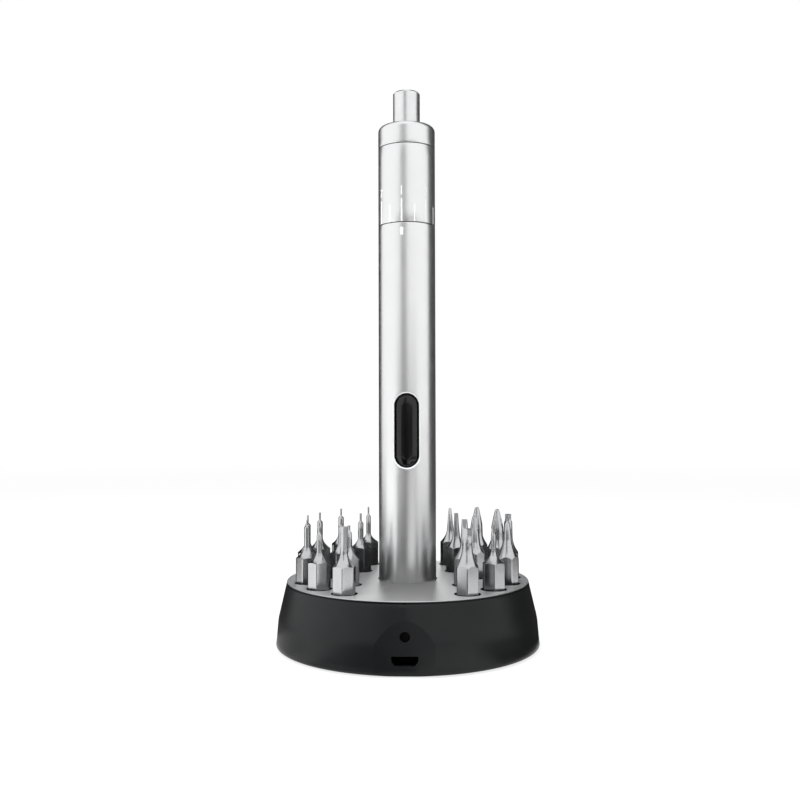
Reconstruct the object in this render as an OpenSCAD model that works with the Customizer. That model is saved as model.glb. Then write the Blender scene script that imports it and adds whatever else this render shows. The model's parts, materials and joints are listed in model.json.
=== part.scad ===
// Pen-shaped electric screwdriver standing nose up in a round charging dock, with twenty hex bits.
// The table is z = 0, the driver's axis is the Z axis and the dock's charging inlet faces -Y.

/* [Driver outside] */
// Outer diameter of the body tube, torque collar and nose cap
driver_d = 18.6; // [18.2:0.1:19.4]
// Length of the body tube
body_len = 122.1; // [118:0.5:135]
// Wall of the body tube
body_wall = 1.2; // [0.9:0.1:1.3]
// Length of the torque collar
collar_len = 25.3; // [22:0.1:32]
// Length of the nose cap
nose_len = 7.2; // [6:0.1:10]
// Radius of the nose cap's rounded shoulder
nose_round = 1.7; // [0.8:0.1:2.4]
// Gap of the seam at each end of the torque collar
seam = 0.2; // [0.1:0.05:0.4]
// Chamfer on the edges beside the seams
seam_chamfer = 0.15; // [0.1:0.05:0.3]
// Diameter of the chuck that stands out of the nose cap
chuck_d = 8.8; // [8.6:0.1:9.6]
// Length of the chuck that stands out of the nose cap
chuck_len = 11.5; // [9:0.1:14]
// Width across the flats of the chuck's hex socket
socket_af = 6.4; // [6.38:0.01:6.5]
// Depth of the chuck's hex socket
socket_depth = 9.5; // [8:0.1:11]

/* [Rocker button] */
// Width of the button's slot in the body tube
slot_w = 7.8; // [6.5:0.1:8.2]
// Height of the button's slot in the body tube
slot_h = 23.6; // [21:0.1:25]
// Height of the slot's centre above the lithium cell
slot_rise = 10.35; // [9.8:0.05:16]
// Gap around the button in its slot
button_gap = 0.2; // [0.15:0.05:0.3]
// How far the button's face lies below the body's surface
button_sink = 0.1; // [0:0.05:0.2]
// Diameter of the button's pivot pin
pivot_d = 1; // [0.9:0.05:1.1]
// Distance of each switch plunger from the pivot
plunger_reach = 7.2; // [6.5:0.1:7.2]

/* [Driver inside] */
// Diameter of the lithium cell
cell_d = 14; // [13:0.1:14.2]
// Length of the lithium cell without its terminal
cell_len = 43; // [38:0.5:48]
// Diameter of the motor can
motor_d = 15.4; // [14:0.1:15.6]
// Length of the motor can
motor_len = 25; // [20:0.5:28]
// Outer diameter of the spindle bearings
bearing_od = 14; // [13.6:0.1:14]
// Diameter of the spindle in its bearings
spindle_d = 8; // [7.4:0.1:8]
// Width of each spindle bearing
bearing_w = 4; // [3:0.1:4.2]
// Wall of the nose frame around the bearings
frame_wall = 0.75; // [0.6:0.05:0.8]
// Module of the planetary gears
gear_module = 0.4; // [0.36:0.01:0.4]
// Width of the planet gears
gear_w = 5; // [4:0.1:5.5]

/* [Dock] */
// Diameter of the dock at its foot
base_d = 85.1; // [83:0.1:90]
// How far the shell's top edge stands in from its foot
shell_taper = 3.35; // [2.6:0.05:3.6]
// How far the top plate's edge stands in from the shell's top edge
plate_inset = 0.1; // [0:0.05:0.4]
// Height of the top plate's upper face above the table
base_h = 20.9; // [19:0.1:24]
// Thickness of the top plate
plate_t = 0.8; // [0.6:0.1:1.2]
// Radius of the top plate's rounded edge
plate_round = 0.4; // [0.2:0.05:0.5]
// Slope of the shell's lower wall in degrees
foot_draft = 4.8; // [3:0.1:6]
// Height of the shell's knee, where the steeper upper wall starts
knee_z = 9; // [8:0.1:10]
// Wall of the dock's shell
shell_wall = 1.6; // [1.4:0.1:1.7]
// Width of the flat on the shell's front at the foot
flat_w = 17; // [15:0.1:19]
// Slope of the flat on the shell's front in degrees
flat_draft = 5.4; // [4.8:0.1:6]
// Depth of the driver in the dock
dock_depth = 8.6; // [7:0.1:8.6]
// Gap around the driver in the dock
dock_gap = 0.35; // [0.2:0.05:0.5]
// Depth of the indicator hole's centre below the top plate's upper face
led_drop = 9.75; // [9.6:0.05:10]
// Diameter of the indicator hole
led_d = 3; // [2.6:0.1:3]
// Height of the charging inlet's underside above the table
inlet_z = 3.2; // [3.2:0.05:3.4]
// Width of the charging inlet's opening
inlet_w = 7.75; // [7.7:0.05:8]
// Height of the charging inlet's opening
inlet_h = 2.65; // [2.6:0.05:2.8]

/* [Bits] */
// Width of the bits' hex shank across its flats
bit_af = 6.35; // [6.3:0.01:6.35]
// Depth of the bits in the dock
bit_seat = 5; // [4.5:0.1:5.2]
// Height of the hex shank above the top plate
shank_rise = 7.9; // [7:0.1:8.5]
// Diameter of the bits' holes
bit_hole_d = 7.7; // [7.6:0.05:8]
// Distance of the outer row of bits from the top plate's edge
row_margin = 6.1; // [5.9:0.1:6.8]
// Distance between the outer and the inner row of bits
row_step = 11.1; // [11:0.1:12]
// Turn of the rows towards the back of the dock
row_turn = 3.7; // [2:0.1:4.5]
// Angle between neighbours in the outer row
outer_step = 20; // [19:0.5:20]
// Angle between neighbours in the inner row
inner_step = 38; // [34:1:40]

/* [Hidden] */
$fn = 64;

// Clearances
run_gap = 0.05;
seat_gap = 0.3;
slip_gap = 0.1;
eps = 0.01;

// Heights of the driver's outside, from the dock up
tail_z = base_h - dock_depth;
tail_flange = 1.2;
tail_plug = 2;
tube_z = tail_z + tail_flange;
tube_top = tube_z + body_len;
collar_z = tube_top + seam;
collar_top = collar_z + collar_len;
nose_z = collar_top + seam;
nose_top = nose_z + nose_len;
chuck_top = nose_top + chuck_len;
driver_r = driver_d / 2;
bore_r = driver_r - body_wall;

// Nose frame, bearings and nose cap
frame_r = bearing_od / 2 + frame_wall;
frame_seat = 5;
frame_z = tube_top - frame_seat;
frame_bore_r = bearing_od / 2 - 1;
nose_web = 3.4;
nose_web_z = nose_top - nose_web;
frame_top = nose_web_z - 2 * slip_gap;
bearing_z = [frame_z + slip_gap, frame_top - 0.5 - bearing_w];
collar_bore_r = frame_r + run_gap;
cap_bore_r = frame_r + run_gap;
chuck_z = bearing_z[1] + bearing_w + slip_gap;
chuck_gap = 0.15;

// Gear train, counted down from the nose frame
sun_teeth = 12;
planet_teeth = 9;
ring_teeth = sun_teeth + 2 * planet_teeth;
pressure_angle = 25;
backlash = 0.04;
addendum = 0.8 * gear_module;
ring_addendum = 0.675 * gear_module;
dedendum = 1.05 * gear_module;
planet_orbit = gear_module * (sun_teeth + planet_teeth) / 2;
planet_count = 3;
planet_pin_d = 1.2;
case_floor = 1.2;
gear_gap = 0.4;
carrier_t = 1.6;
carrier_boss = 1.3;
spindle_drop = 0.8;
spindle_z = frame_z - spindle_drop;
carrier_z = spindle_z - carrier_boss - carrier_t;
gear_z = carrier_z - seat_gap - gear_w;
case_z = gear_z - gear_gap - case_floor;
case_r = bore_r - run_gap;
case_bore_r = gear_module * ring_teeth / 2 + dedendum + 0.2;
carrier_r = case_bore_r - seat_gap;

// Motor
motor_z = case_z - motor_len;
motor_boss_d = 5;
motor_shaft_d = 1.5;
shaft_z = case_z - 6;
motor_cap_d = 10;
motor_cap_h = 2.2;

// Cell, chassis and control board
cell_z = tube_z + tail_plug + seat_gap;
cell_back = bore_r - cell_d / 2 - seat_gap;
cell_tip_d = 5;
cell_tip_h = 0.8;
slot_z = cell_z + cell_len + slot_rise;
chassis_z = cell_z + cell_len + cell_tip_h + seat_gap;
chassis_top = motor_z - motor_cap_h - seat_gap;
chassis_r = bore_r - slip_gap;
chassis_rim = 2;
window_w = 10;
board_back = -2.4;
board_t = 1;
board_w = 13;
board_face = board_back - board_t;

// Rocker button, its pivot and its switches
button_w = slot_w - 2 * button_gap;
button_h = slot_h - 2 * button_gap;
button_back = bore_r - 0.8;
button_r = driver_r - button_sink;
pivot_y = button_back - 1.1;
boss_w = 5;
boss_h = 2.6;
ear_t = 0.8;
ear_x = boss_w / 2 + slip_gap;
bracket_t = 0.8;
plunger_d = 1.6;
switch_size = 3;
switch_t = 1.6;
stem_d = 1.4;
stem_t = 0.3;
stem_face = -board_face + switch_t + stem_t;

// Sensor of the torque collar
magnet_size = 2.9;
magnet_t = 0.75;
magnet_rise = 3.5;
sensor_w = 4;
sensor_h = 6;
sensor_t = 0.6;
sensor_rise = 1.8;
sensor_face = frame_r - 0.5;

// Races and shields of the spindle bearings
outer_race = 0.8;
inner_race = 1.1;
shield_sink = 0.4;

// Socket magnet
socket_magnet_d = 5;
socket_magnet_h = 2.5;
socket_z = chuck_top - socket_depth;

// Dock, from the table up
base_r = base_d / 2;
foot_gap = 0.4;
foot_round = 0.8;
pad_t = 0.9;
cover_t = 1.2;
cover_top = pad_t + cover_t;
shell_top = base_h - plate_t;
shell_top_r = base_r - shell_taper;
plate_r = shell_top_r - plate_inset;
knee_r = base_r - knee_z * tan(foot_draft);
knee_blend = 2;
cover_r = base_r - 4;
flat_y = sqrt(base_r * base_r - flat_w * flat_w / 4);
tray_r = shell_top_r - shell_wall - seat_gap;
tray_t = 5.7;
tray_z = shell_top - tray_t;
bit_z = base_h - bit_seat;
outer_row = plate_r - row_margin;
inner_row = outer_row - row_step;
ring_t = 1.8;
ring_z = tray_z - ring_t;
ring_r = tray_r - 0.7;
ballast_t = 6;
ballast_z = ring_z - ballast_t;
cup_wall = 1.8;
cup_floor_t = 2.7;
cup_bore_r = driver_r + dock_gap;
cup_r = cup_bore_r + cup_wall;
cup_floor = tail_z - seat_gap;
cup_z = cup_floor - cup_floor_t;
board_z = cover_top + seat_gap;
pcb_t = 0.8;
board_r = base_r - 10.5;
board_tab_w = 14;
port_len = 5;
port_gap = 0.1;
port_wall = 0.25;
port_inset = 0.7;
tongue_w = 3.8;
tongue_t = 0.5;
port_face = flat_y - inlet_z * tan(flat_draft) - port_inset;
led_z = base_h - led_drop;
led_w = 1.6;
led_t = 0.6;
pipe_y = port_face - port_len - 1.6;
pipe_d = 2.4;
pipe_head_t = 1.5;
pipe_head_y = port_face - pipe_head_t - port_inset;
post_inset = 7;
post_row = base_r - post_inset;
post_d = 5.4;
post_h = 9;
post_rib_t = 2;
screw_d = 2;
screw_head_d = 3.6;
screw_head_h = 0.7;
screw_socket_af = 1.4;
screw_len = 6;
ballast_r = post_row - post_d / 2 - seat_gap;

// Charging pins in the dock and the contacts that they touch in the driver's tail
pin_row = 4.6;
pin_base_d = 1.9;
pin_base_h = 1.9;
pin_tip_d = 1.1;
contact_d = 3;
contact_w = 1.4;
contact_t = 0.6;
contact_sink = 0.7;

// Hex shank of the bits, and the blunt end and core of a cross tip
bit_c = bit_af / sqrt(3);
hex_len = bit_seat + shank_rise;
bit_pocket_d = 2 * (bit_c + slip_gap);
bit_foot_chamfer = 0.6;
cross_end_r = 0.6;
cross_core = 0.28;

// Each bit: node, side, row radius, angle, twist, kind of tip,
// then its size, its length, the neck's lower and upper diameter and the height above the plate,
// then the flare's height and its curve
BITS = [
    ["bit_hex_key_2", -1, outer_row, -3 * outer_step, -5, "key", [2, 6.8, 2.3, 2.3, 20], [4.6, 2.4]],
    ["bit_pin_a", -1, outer_row, -2 * outer_step, -8, "star", [0.7, 2.6, 1.8, 1.7, 19], [3.4, 2]],
    ["bit_pin_b", -1, outer_row, -outer_step, -15, "star", [0.6, 2.2, 2, 2, 19.8], [3.6, 2]],
    ["bit_pin_c", -1, outer_row, 0, 12, "star", [0.65, 3.2, 1.9, 1.9, 19.6], [3.6, 2]],
    ["bit_pin_d", -1, outer_row, outer_step, 24, "star", [0.65, 3.3, 2, 2, 19.5], [3.6, 2]],
    ["bit_pin_e", -1, outer_row, 2 * outer_step, 9, "star", [0.7, 3.2, 2, 2, 19.7], [3.6, 2]],
    ["bit_pin_f", -1, outer_row, 3 * outer_step, 17, "star", [0.6, 3.5, 1.7, 1.7, 20.1], [3.2, 2]],
    ["bit_pin_g", -1, inner_row, -inner_step, 4, "star", [0.9, 2.4, 2, 1.8, 18.6], [4.2, 2.2]],
    ["bit_pin_h", -1, inner_row, 0, -20, "star", [0.65, 3, 1.8, 1.8, 19.2], [3.6, 2]],
    ["bit_pin_i", -1, inner_row, inner_step, 21, "star", [0.7, 3.4, 1.9, 1.9, 18.9], [3.4, 2]],
    ["bit_hex_key_25", 1, outer_row, -3 * outer_step, 0, "key", [2.5, 3.5, 3, 2.9, 19.3], [7.6, 2.6]],
    ["bit_tri_wing", 1, outer_row, -2 * outer_step, 3, "tri", [1.5, 2.2, 1.6, 1.4, 17.6], [3.8, 2.2]],
    ["bit_star_small", 1, outer_row, -outer_step, 18, "star", [1.1, 1.8, 2.6, 1.7, 20.6], [6.6, 1.8]],
    ["bit_star_large", 1, outer_row, 0, -9, "star", [2.2, 2.6, 2.9, 2.7, 19.6], [5.8, 2.2]],
    ["bit_cross_2", 1, outer_row, outer_step, 11, "cross", [4.2, 6.4, 4.4, 4.2, 20.4], [3.2, 1.4]],
    ["bit_cross_1", 1, outer_row, 2 * outer_step, 26, "cross", [3.8, 6.2, 4, 3.8, 20.6], [3.4, 1.4]],
    ["bit_slot_narrow", 1, outer_row, 3 * outer_step, 14, "slot", [0.9, 2.4, 2.3, 1.4, 19.4], [4.4, 1.8]],
    ["bit_slot_wide", 1, inner_row, -inner_step, -12, "slot", [1.8, 3, 2.7, 2.1, 19.6], [5.2, 2]],
    ["bit_cross_0", 1, inner_row, 0, 7, "cross", [3, 5.2, 3.6, 3, 20.1], [4, 1.6]],
    ["bit_slot_medium", 1, inner_row, inner_step, -17, "slot", [1.3, 3, 2.4, 1.6, 19], [4.4, 1.8]]];

// Turns the children a whole number of equal steps round the Z axis
module ring_of(count, start = 0) {
    for (i = [0 : count - 1]) rotate(start + i * 360 / count) children();
}

// Tube with a chamfer on its outer edges
module chamfered_tube(r_out, r_in, z0, z1, c0, c1) {
    rotate_extrude() polygon([[r_in, z0], [r_out - c0, z0], [r_out, z0 + c0], [r_out, z1 - c1],
        [r_out - c1, z1], [r_in, z1]]);
}

// Pill outline, upright, with round ends
module pill_2d(w, h) {
    for (s = [-1, 1]) translate([0, s * (h - w) / 2]) circle(d = w);
    square([w, h - w], center = true);
}

// Pill-shaped bar along -Y, centred on the button's slot
module front_pill(w, h, y0, y1) {
    translate([0, -y0, slot_z]) rotate([90, 0, 0]) linear_extrude(y1 - y0) pill_2d(w, h);
}

// Cylinder along X or along -Y
module x_rod(r, x0, x1) {
    translate([x0, 0, 0]) rotate([0, 90, 0]) cylinder(r = r, h = x1 - x0);
}

module front_rod(r, y0, y1) {
    translate([0, -y0, 0]) rotate([90, 0, 0]) cylinder(r = r, h = y1 - y0);
}

// Gear outline: involute flanks, thickened by grow on each side
function polar(r, a) = [r * cos(a), r * sin(a)];
function roll(r, rb) = r <= rb ? 0 : sqrt(r * r / (rb * rb) - 1);
function involute(r, rb) = roll(r, rb) * 180 / PI - atan(roll(r, rb));

module gear_2d(teeth, r_root, r_tip, grow) {
    r = gear_module * teeth / 2;
    rb = r * cos(pressure_angle);
    half = 90 / teeth + involute(r, rb) + grow / r * 180 / PI;
    steps = 3;
    r_low = max(r_root, rb);
    radii = concat([r_root], [for (k = [0 : steps]) r_low + (r_tip - r_low) * k / steps]);
    last = len(radii) - 1;
    polygon([for (i = [0 : teeth - 1]) let (a = i * 360 / teeth)
        for (k = [0 : 2 * last + 1])
            let (m = k <= last ? k : 2 * last + 1 - k, s = k <= last ? -1 : 1)
                polar(radii[m], a + s * (half - involute(radii[m], rb)))]);
}

// Radius of the shell's outside at a height, moved in by inset
function shell_r(z, inset = 0) = (z < knee_z
    ? base_r - z * tan(foot_draft)
    : knee_r + (shell_top_r - knee_r) * (z - knee_z) / (shell_top - knee_z)) - inset;

// Outline of the knee's blend between the lower and the upper wall
function knee_points(inset) = let (p0 = [shell_r(knee_z - knee_blend, inset), knee_z - knee_blend],
    p1 = [shell_r(knee_z, inset), knee_z],
    p2 = [shell_r(knee_z + knee_blend, inset), knee_z + knee_blend])
    [for (k = [0 : 5]) let (t = k / 5) (1 - t) * (1 - t) * p0 + 2 * t * (1 - t) * p1 + t * t * p2];

// Half space in front of the shell's flat
module flat_cut(inset = 0) {
    translate([-base_r, -flat_y + inset, 0]) rotate([-flat_draft, 0, 0])
        translate([0, -base_r, -base_h]) cube([base_d, base_r, 3 * base_h]);
}

// Outline of the charging inlet, wide side up, with cut lower corners
module inlet_2d(grow) {
    w = inlet_w / 2 + grow;
    h = inlet_h;
    polygon([[-w, h + grow], [-w + 0.1, h * 0.45], [-w + 0.95, -grow], [w - 0.95, -grow],
        [w - 0.1, h * 0.45], [w, h + grow]]);
}

module front_inlet(grow, y0, y1) {
    translate([0, -y0, inlet_z]) rotate([90, 0, 0]) linear_extrude(y1 - y0) inlet_2d(grow);
}

module at_bit_holes() {
    for (row = BITS) at_bit(row) children();
}

module at_bit(row) {
    translate([row[1] * row[2] * cos(row[3] + row_turn), row[2] * sin(row[3] + row_turn), 0]) children();
}

// Dock
module base_shell() {
    color([0.13, 0.13, 0.14]) {
        difference() {
            rotate_extrude($fn = 180) polygon(concat(
                [[cover_r + slip_gap, foot_gap], [base_r - foot_round, foot_gap]],
                [for (k = [1 : 4]) [base_r - foot_round + foot_round * sin(k * 20),
                    foot_gap + foot_round * (1 - cos(k * 20))]],
                knee_points(0),
                [[shell_top_r, shell_top], [shell_top_r - shell_wall, shell_top]],
                [for (k = [5 : -1 : 0]) knee_points(shell_wall)[k]],
                [[shell_r(cover_top, shell_wall), cover_top], [cover_r + slip_gap, cover_top]]));
            flat_cut();
            translate([0, 0, led_z]) front_rod(led_d / 2, flat_y - 5, base_r);
            front_inlet(0, flat_y - 5, base_r);
        }
        screw_posts();
    }
}

module screw_posts() {
    difference() {
        intersection() {
            ring_of(4, 45) {
                translate([post_row, 0, cover_top]) cylinder(d = post_d, h = post_h);
                translate([post_row, -post_rib_t / 2, cover_top])
                    cube([base_r, post_rib_t, post_h]);
            }
            cylinder(r1 = shell_r(0, 1), r2 = shell_r(base_h, 1), h = base_h);
        }
        ring_of(4, 45) translate([post_row, 0, 0]) cylinder(d = screw_d + 2 * run_gap, h = post_h);
    }
}

module top_plate() {
    color([0.78, 0.79, 0.8]) difference() {
        rotate_extrude($fn = 180) polygon(concat([[0, shell_top], [plate_r, shell_top]],
            [for (k = [0 : 5]) [plate_r - plate_round + plate_round * cos(k * 18),
                base_h - plate_round + plate_round * sin(k * 18)]], [[0, base_h]]));
        cylinder(r = cup_bore_r, h = 2 * base_h);
        at_bit_holes() cylinder(d = bit_hole_d, h = 2 * base_h);
    }
}

module bit_tray() {
    color([0.1, 0.1, 0.1]) difference() {
        translate([0, 0, tray_z]) cylinder(r = tray_r, h = tray_t);
        cylinder(r = cup_r + slip_gap, h = base_h);
        at_bit_holes() translate([0, 0, bit_z - slip_gap]) cylinder(d = bit_pocket_d, h = base_h);
    }
}

module dock_cup() {
    color([0.1, 0.1, 0.1]) difference() {
        translate([0, 0, cup_z]) cylinder(r = cup_r, h = shell_top - cup_z);
        translate([0, 0, cup_floor]) cylinder(r = cup_bore_r, h = base_h);
        for (x = [0, pin_row]) translate([x, 0, 0])
            cylinder(d = pin_base_d + 2 * slip_gap, h = base_h);
    }
}

module magnet_ring() {
    color([0.25, 0.24, 0.23]) translate([0, 0, ring_z]) difference() {
        cylinder(r = ring_r, h = ring_t);
        translate([0, 0, -eps]) cylinder(r = cup_r + seat_gap, h = ring_t + 1);
    }
}

module ballast() {
    color([0.45, 0.46, 0.48]) translate([0, 0, ballast_z]) difference() {
        cylinder(r = ballast_r, h = ballast_t);
        translate([0, 0, -eps]) cylinder(r = cup_r + seat_gap, h = ballast_t + 1);
    }
}

module main_board() {
    color([0.1, 0.35, 0.18]) translate([0, 0, board_z]) {
        cylinder(r = board_r, h = pcb_t);
        translate([-board_tab_w / 2, -port_face + 1.5, 0]) cube([board_tab_w, 12, pcb_t]);
    }
}

module status_led() {
    color([0.9, 0.9, 0.8]) translate([-led_w / 2, -pipe_y - led_w / 4, board_z + pcb_t])
        cube([led_w, led_w / 2, led_t]);
}

module light_pipe() {
    color([0.12, 0.12, 0.13]) {
        difference() {
            union() {
                translate([0, 0, led_z]) front_rod(led_d / 2 - run_gap, pipe_head_y,
                    pipe_head_y + pipe_head_t);
                translate([0, 0, led_z]) front_rod(pipe_d / 2, pipe_y - pipe_d / 2,
                    pipe_head_y + eps);
                translate([0, -pipe_y, board_z + pcb_t + led_t + seat_gap])
                    cylinder(d = pipe_d, h = led_z - board_z - pcb_t - led_t - seat_gap);
            }
            translate([0, -pipe_y, led_z]) rotate([-45, 0, 0])
                translate([-pipe_d, -2 * pipe_d, pipe_d * 0.35])
                    cube([2 * pipe_d, 4 * pipe_d, 2 * pipe_d]);
        }
    }
}

module usb_port() {
    color([0.3, 0.3, 0.32]) difference() {
        front_inlet(-port_gap, port_face - port_len, port_face);
        difference() {
            front_inlet(-port_gap - port_wall, port_face - port_len + tongue_t, base_r);
            translate([-tongue_w / 2, -port_face + tongue_t, inlet_z + inlet_h / 2])
                cube([tongue_w, port_len, tongue_t]);
        }
    }
}

module contact_board() {
    color([0.1, 0.35, 0.18]) translate([0, 0, cup_z - pcb_t]) cylinder(r = cup_r - cup_wall, h = pcb_t);
}

module charge_pins() {
    color([0.85, 0.7, 0.35]) for (x = [0, pin_row]) translate([x, 0, 0]) {
        translate([0, 0, cup_z]) cylinder(d = pin_base_d, h = pin_base_h);
        translate([0, 0, cup_z]) cylinder(d = pin_tip_d, h = tail_z - run_gap - cup_z);
    }
}

module bottom_cover() {
    color([0.12, 0.12, 0.12]) difference() {
        translate([0, 0, pad_t]) cylinder(r = cover_r, h = cover_t);
        ring_of(4, 45) translate([post_row, 0, 0]) {
            cylinder(d = screw_d + 2 * slip_gap, h = base_h);
            cylinder(d = screw_head_d + 2 * slip_gap, h = pad_t + screw_head_h + run_gap);
        }
    }
}

module cover_screws() {
    color([0.6, 0.6, 0.62]) ring_of(4, 45) translate([post_row, 0, pad_t + run_gap]) difference() {
        union() {
            cylinder(d = screw_head_d, h = screw_head_h);
            cylinder(d = screw_d, h = screw_len);
        }
        translate([0, 0, -eps])
            cylinder(d = screw_socket_af * 2 / sqrt(3), h = screw_head_h, $fn = 6);
    }
}

module base_pad() {
    color([0.15, 0.15, 0.15]) cylinder(r = cover_r, h = pad_t);
}

// Driver, fixed pieces
module body_tube() {
    color([0.78, 0.79, 0.8]) difference() {
        chamfered_tube(driver_r, bore_r, tube_z, tube_top, seam_chamfer, seam_chamfer);
        front_pill(slot_w, slot_h, 0, driver_d);
    }
}

module tail_cap() {
    color([0.12, 0.12, 0.12]) difference() {
        union() {
            chamfered_tube(driver_r, 0, tail_z, tube_z, 0.5, 0);
            translate([0, 0, tail_z + contact_sink])
                cylinder(r = bore_r - slip_gap, h = tube_z + tail_plug - tail_z - contact_sink);
        }
        translate([0, 0, tail_z - eps]) {
            cylinder(d = contact_d + 2 * slip_gap, h = contact_sink);
            difference() {
                cylinder(r = pin_row + contact_w / 2 + slip_gap, h = contact_sink);
                cylinder(r = pin_row - contact_w / 2 - slip_gap, h = contact_sink + eps);
            }
        }
    }
}

module tail_contacts() {
    color([0.85, 0.7, 0.35]) translate([0, 0, tail_z]) {
        cylinder(d = contact_d, h = contact_t);
        difference() {
            cylinder(r = pin_row + contact_w / 2, h = contact_t);
            translate([0, 0, -eps]) cylinder(r = pin_row - contact_w / 2, h = contact_t + 1);
        }
    }
}

module cell() {
    color([0.2, 0.35, 0.6]) translate([0, cell_back, cell_z]) {
        cylinder(d = cell_d, h = cell_len);
        cylinder(d = cell_tip_d, h = cell_len + cell_tip_h);
    }
}

module chassis() {
    color([0.18, 0.18, 0.18]) difference() {
        translate([0, 0, chassis_z]) cylinder(r = chassis_r, h = chassis_top - chassis_z);
        translate([-driver_r, -driver_d + board_back, 0]) cube([driver_d, driver_d, chuck_top]);
        translate([-window_w / 2, board_back - 1, chassis_z + chassis_rim])
            cube([window_w, bore_r, chassis_top - chassis_z - 2 * chassis_rim]);
    }
}

module control_board() {
    color([0.1, 0.35, 0.18]) translate([-board_w / 2, board_face, chassis_z + slip_gap])
        cube([board_w, board_t, chassis_top - chassis_z - 2 * slip_gap]);
}

module tact_switches() {
    color([0.7, 0.7, 0.72]) for (s = [-1, 1]) {
        z = slot_z + s * plunger_reach;
        translate([-switch_size / 2, board_face - switch_t, z - switch_size / 2])
            cube([switch_size, switch_t, switch_size]);
        translate([0, 0, z]) front_rod(stem_d / 2, -board_face, stem_face);
    }
}

module button_bracket() {
    color([0.75, 0.75, 0.78]) difference() {
        union() {
            translate([-ear_x - ear_t, board_face - bracket_t, slot_z - boss_h / 2])
                cube([2 * (ear_x + ear_t), bracket_t, boss_h]);
            for (x = [-ear_x - ear_t, ear_x])
                translate([x, -button_back + seat_gap, slot_z - boss_h / 2])
                    cube([ear_t, button_back - seat_gap + board_face, boss_h]);
        }
        translate([0, -pivot_y, slot_z]) x_rod(pivot_d / 2 + 0.02, -driver_r, driver_r);
    }
}

module button_pin() {
    color([0.8, 0.8, 0.82]) translate([0, -pivot_y, slot_z])
        x_rod(pivot_d / 2, -ear_x - ear_t, ear_x + ear_t);
}

module rocker_button() {
    color([0.06, 0.06, 0.06]) difference() {
        union() {
            intersection() {
                front_pill(button_w, button_h, button_back, driver_d);
                cylinder(r = button_r, h = chuck_top);
            }
            translate([-boss_w / 2, -button_back - eps, slot_z - boss_h / 2])
                cube([boss_w, 2 + eps, boss_h]);
            for (s = [-1, 1]) translate([0, 0, slot_z + s * plunger_reach])
                front_rod(plunger_d / 2, stem_face + 0.35, button_back + eps);
        }
        translate([0, -pivot_y, slot_z]) x_rod(pivot_d / 2 + run_gap, -driver_r, driver_r);
    }
}

module motor() {
    color([0.7, 0.7, 0.72]) difference() {
        union() {
            translate([0, 0, motor_z]) cylinder(d = motor_d, h = motor_len);
            translate([0, 0, motor_z]) cylinder(d = motor_boss_d, h = motor_len + case_floor / 2);
            translate([0, 0, motor_z - motor_cap_h]) cylinder(d = motor_cap_d, h = motor_cap_h);
        }
        translate([0, 0, shaft_z - seat_gap]) cylinder(d = motor_shaft_d + 2 * run_gap, h = motor_len);
    }
}

module motor_pinion() {
    r = gear_module * sun_teeth / 2;
    color([0.85, 0.75, 0.45]) {
        translate([0, 0, shaft_z]) cylinder(d = motor_shaft_d, h = gear_z + gear_w - shaft_z);
        translate([0, 0, gear_z]) linear_extrude(gear_w)
            gear_2d(sun_teeth, r - dedendum, r + addendum, -backlash);
    }
}

module gear_case() {
    r = gear_module * ring_teeth / 2;
    color([0.6, 0.6, 0.62]) difference() {
        translate([0, 0, case_z]) cylinder(r = case_r, h = frame_z - case_z);
        cylinder(d = motor_boss_d + 2 * slip_gap, h = chuck_top);
        translate([0, 0, case_z + case_floor]) linear_extrude(frame_z)
            gear_2d(ring_teeth, r - ring_addendum, r + dedendum, backlash);
        translate([0, 0, gear_z + gear_w + 0.1]) cylinder(r = case_bore_r, h = frame_z);
    }
}

module planet_gear(i) {
    r = gear_module * planet_teeth / 2;
    color([0.85, 0.75, 0.45]) rotate(i * 360 / planet_count) translate([planet_orbit, 0, gear_z])
        linear_extrude(gear_w) difference() {
            gear_2d(planet_teeth, r - dedendum, r + addendum, -backlash);
            circle(d = planet_pin_d + 2 * run_gap);
        }
}

module planet_gear_1() {
    planet_gear(0);
}

module planet_gear_2() {
    planet_gear(1);
}

module planet_gear_3() {
    planet_gear(2);
}

module planet_carrier() {
    color([0.65, 0.65, 0.68]) {
        translate([0, 0, carrier_z]) cylinder(r = carrier_r, h = carrier_t);
        translate([0, 0, carrier_z]) cylinder(d = 5, h = carrier_t + carrier_boss);
        ring_of(planet_count) translate([planet_orbit, 0, gear_z])
            cylinder(d = planet_pin_d, h = carrier_z + carrier_t - gear_z);
    }
}

module nose_frame() {
    color([0.3, 0.3, 0.32]) difference() {
        union() {
            translate([0, 0, frame_z]) cylinder(r = bore_r - run_gap, h = frame_seat);
            translate([0, 0, frame_z]) cylinder(r = frame_r, h = frame_top - frame_z);
        }
        cylinder(r = frame_bore_r, h = chuck_top);
        cylinder(r = bearing_od / 2 + run_gap, h = bearing_z[0] + bearing_w + slip_gap);
        translate([0, 0, bearing_z[1] - slip_gap])
            cylinder(r = bearing_od / 2 + run_gap, h = chuck_top);
        translate([-sensor_w / 2 - slip_gap, sensor_face - sensor_t - 0.05, collar_z + sensor_rise])
            cube([sensor_w + 2 * slip_gap, driver_r, sensor_h + 2 * slip_gap]);
    }
}

module sensor_board() {
    color([0.1, 0.35, 0.18]) translate([-sensor_w / 2, sensor_face - sensor_t,
        collar_z + sensor_rise + slip_gap]) cube([sensor_w, sensor_t, sensor_h]);
}

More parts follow.
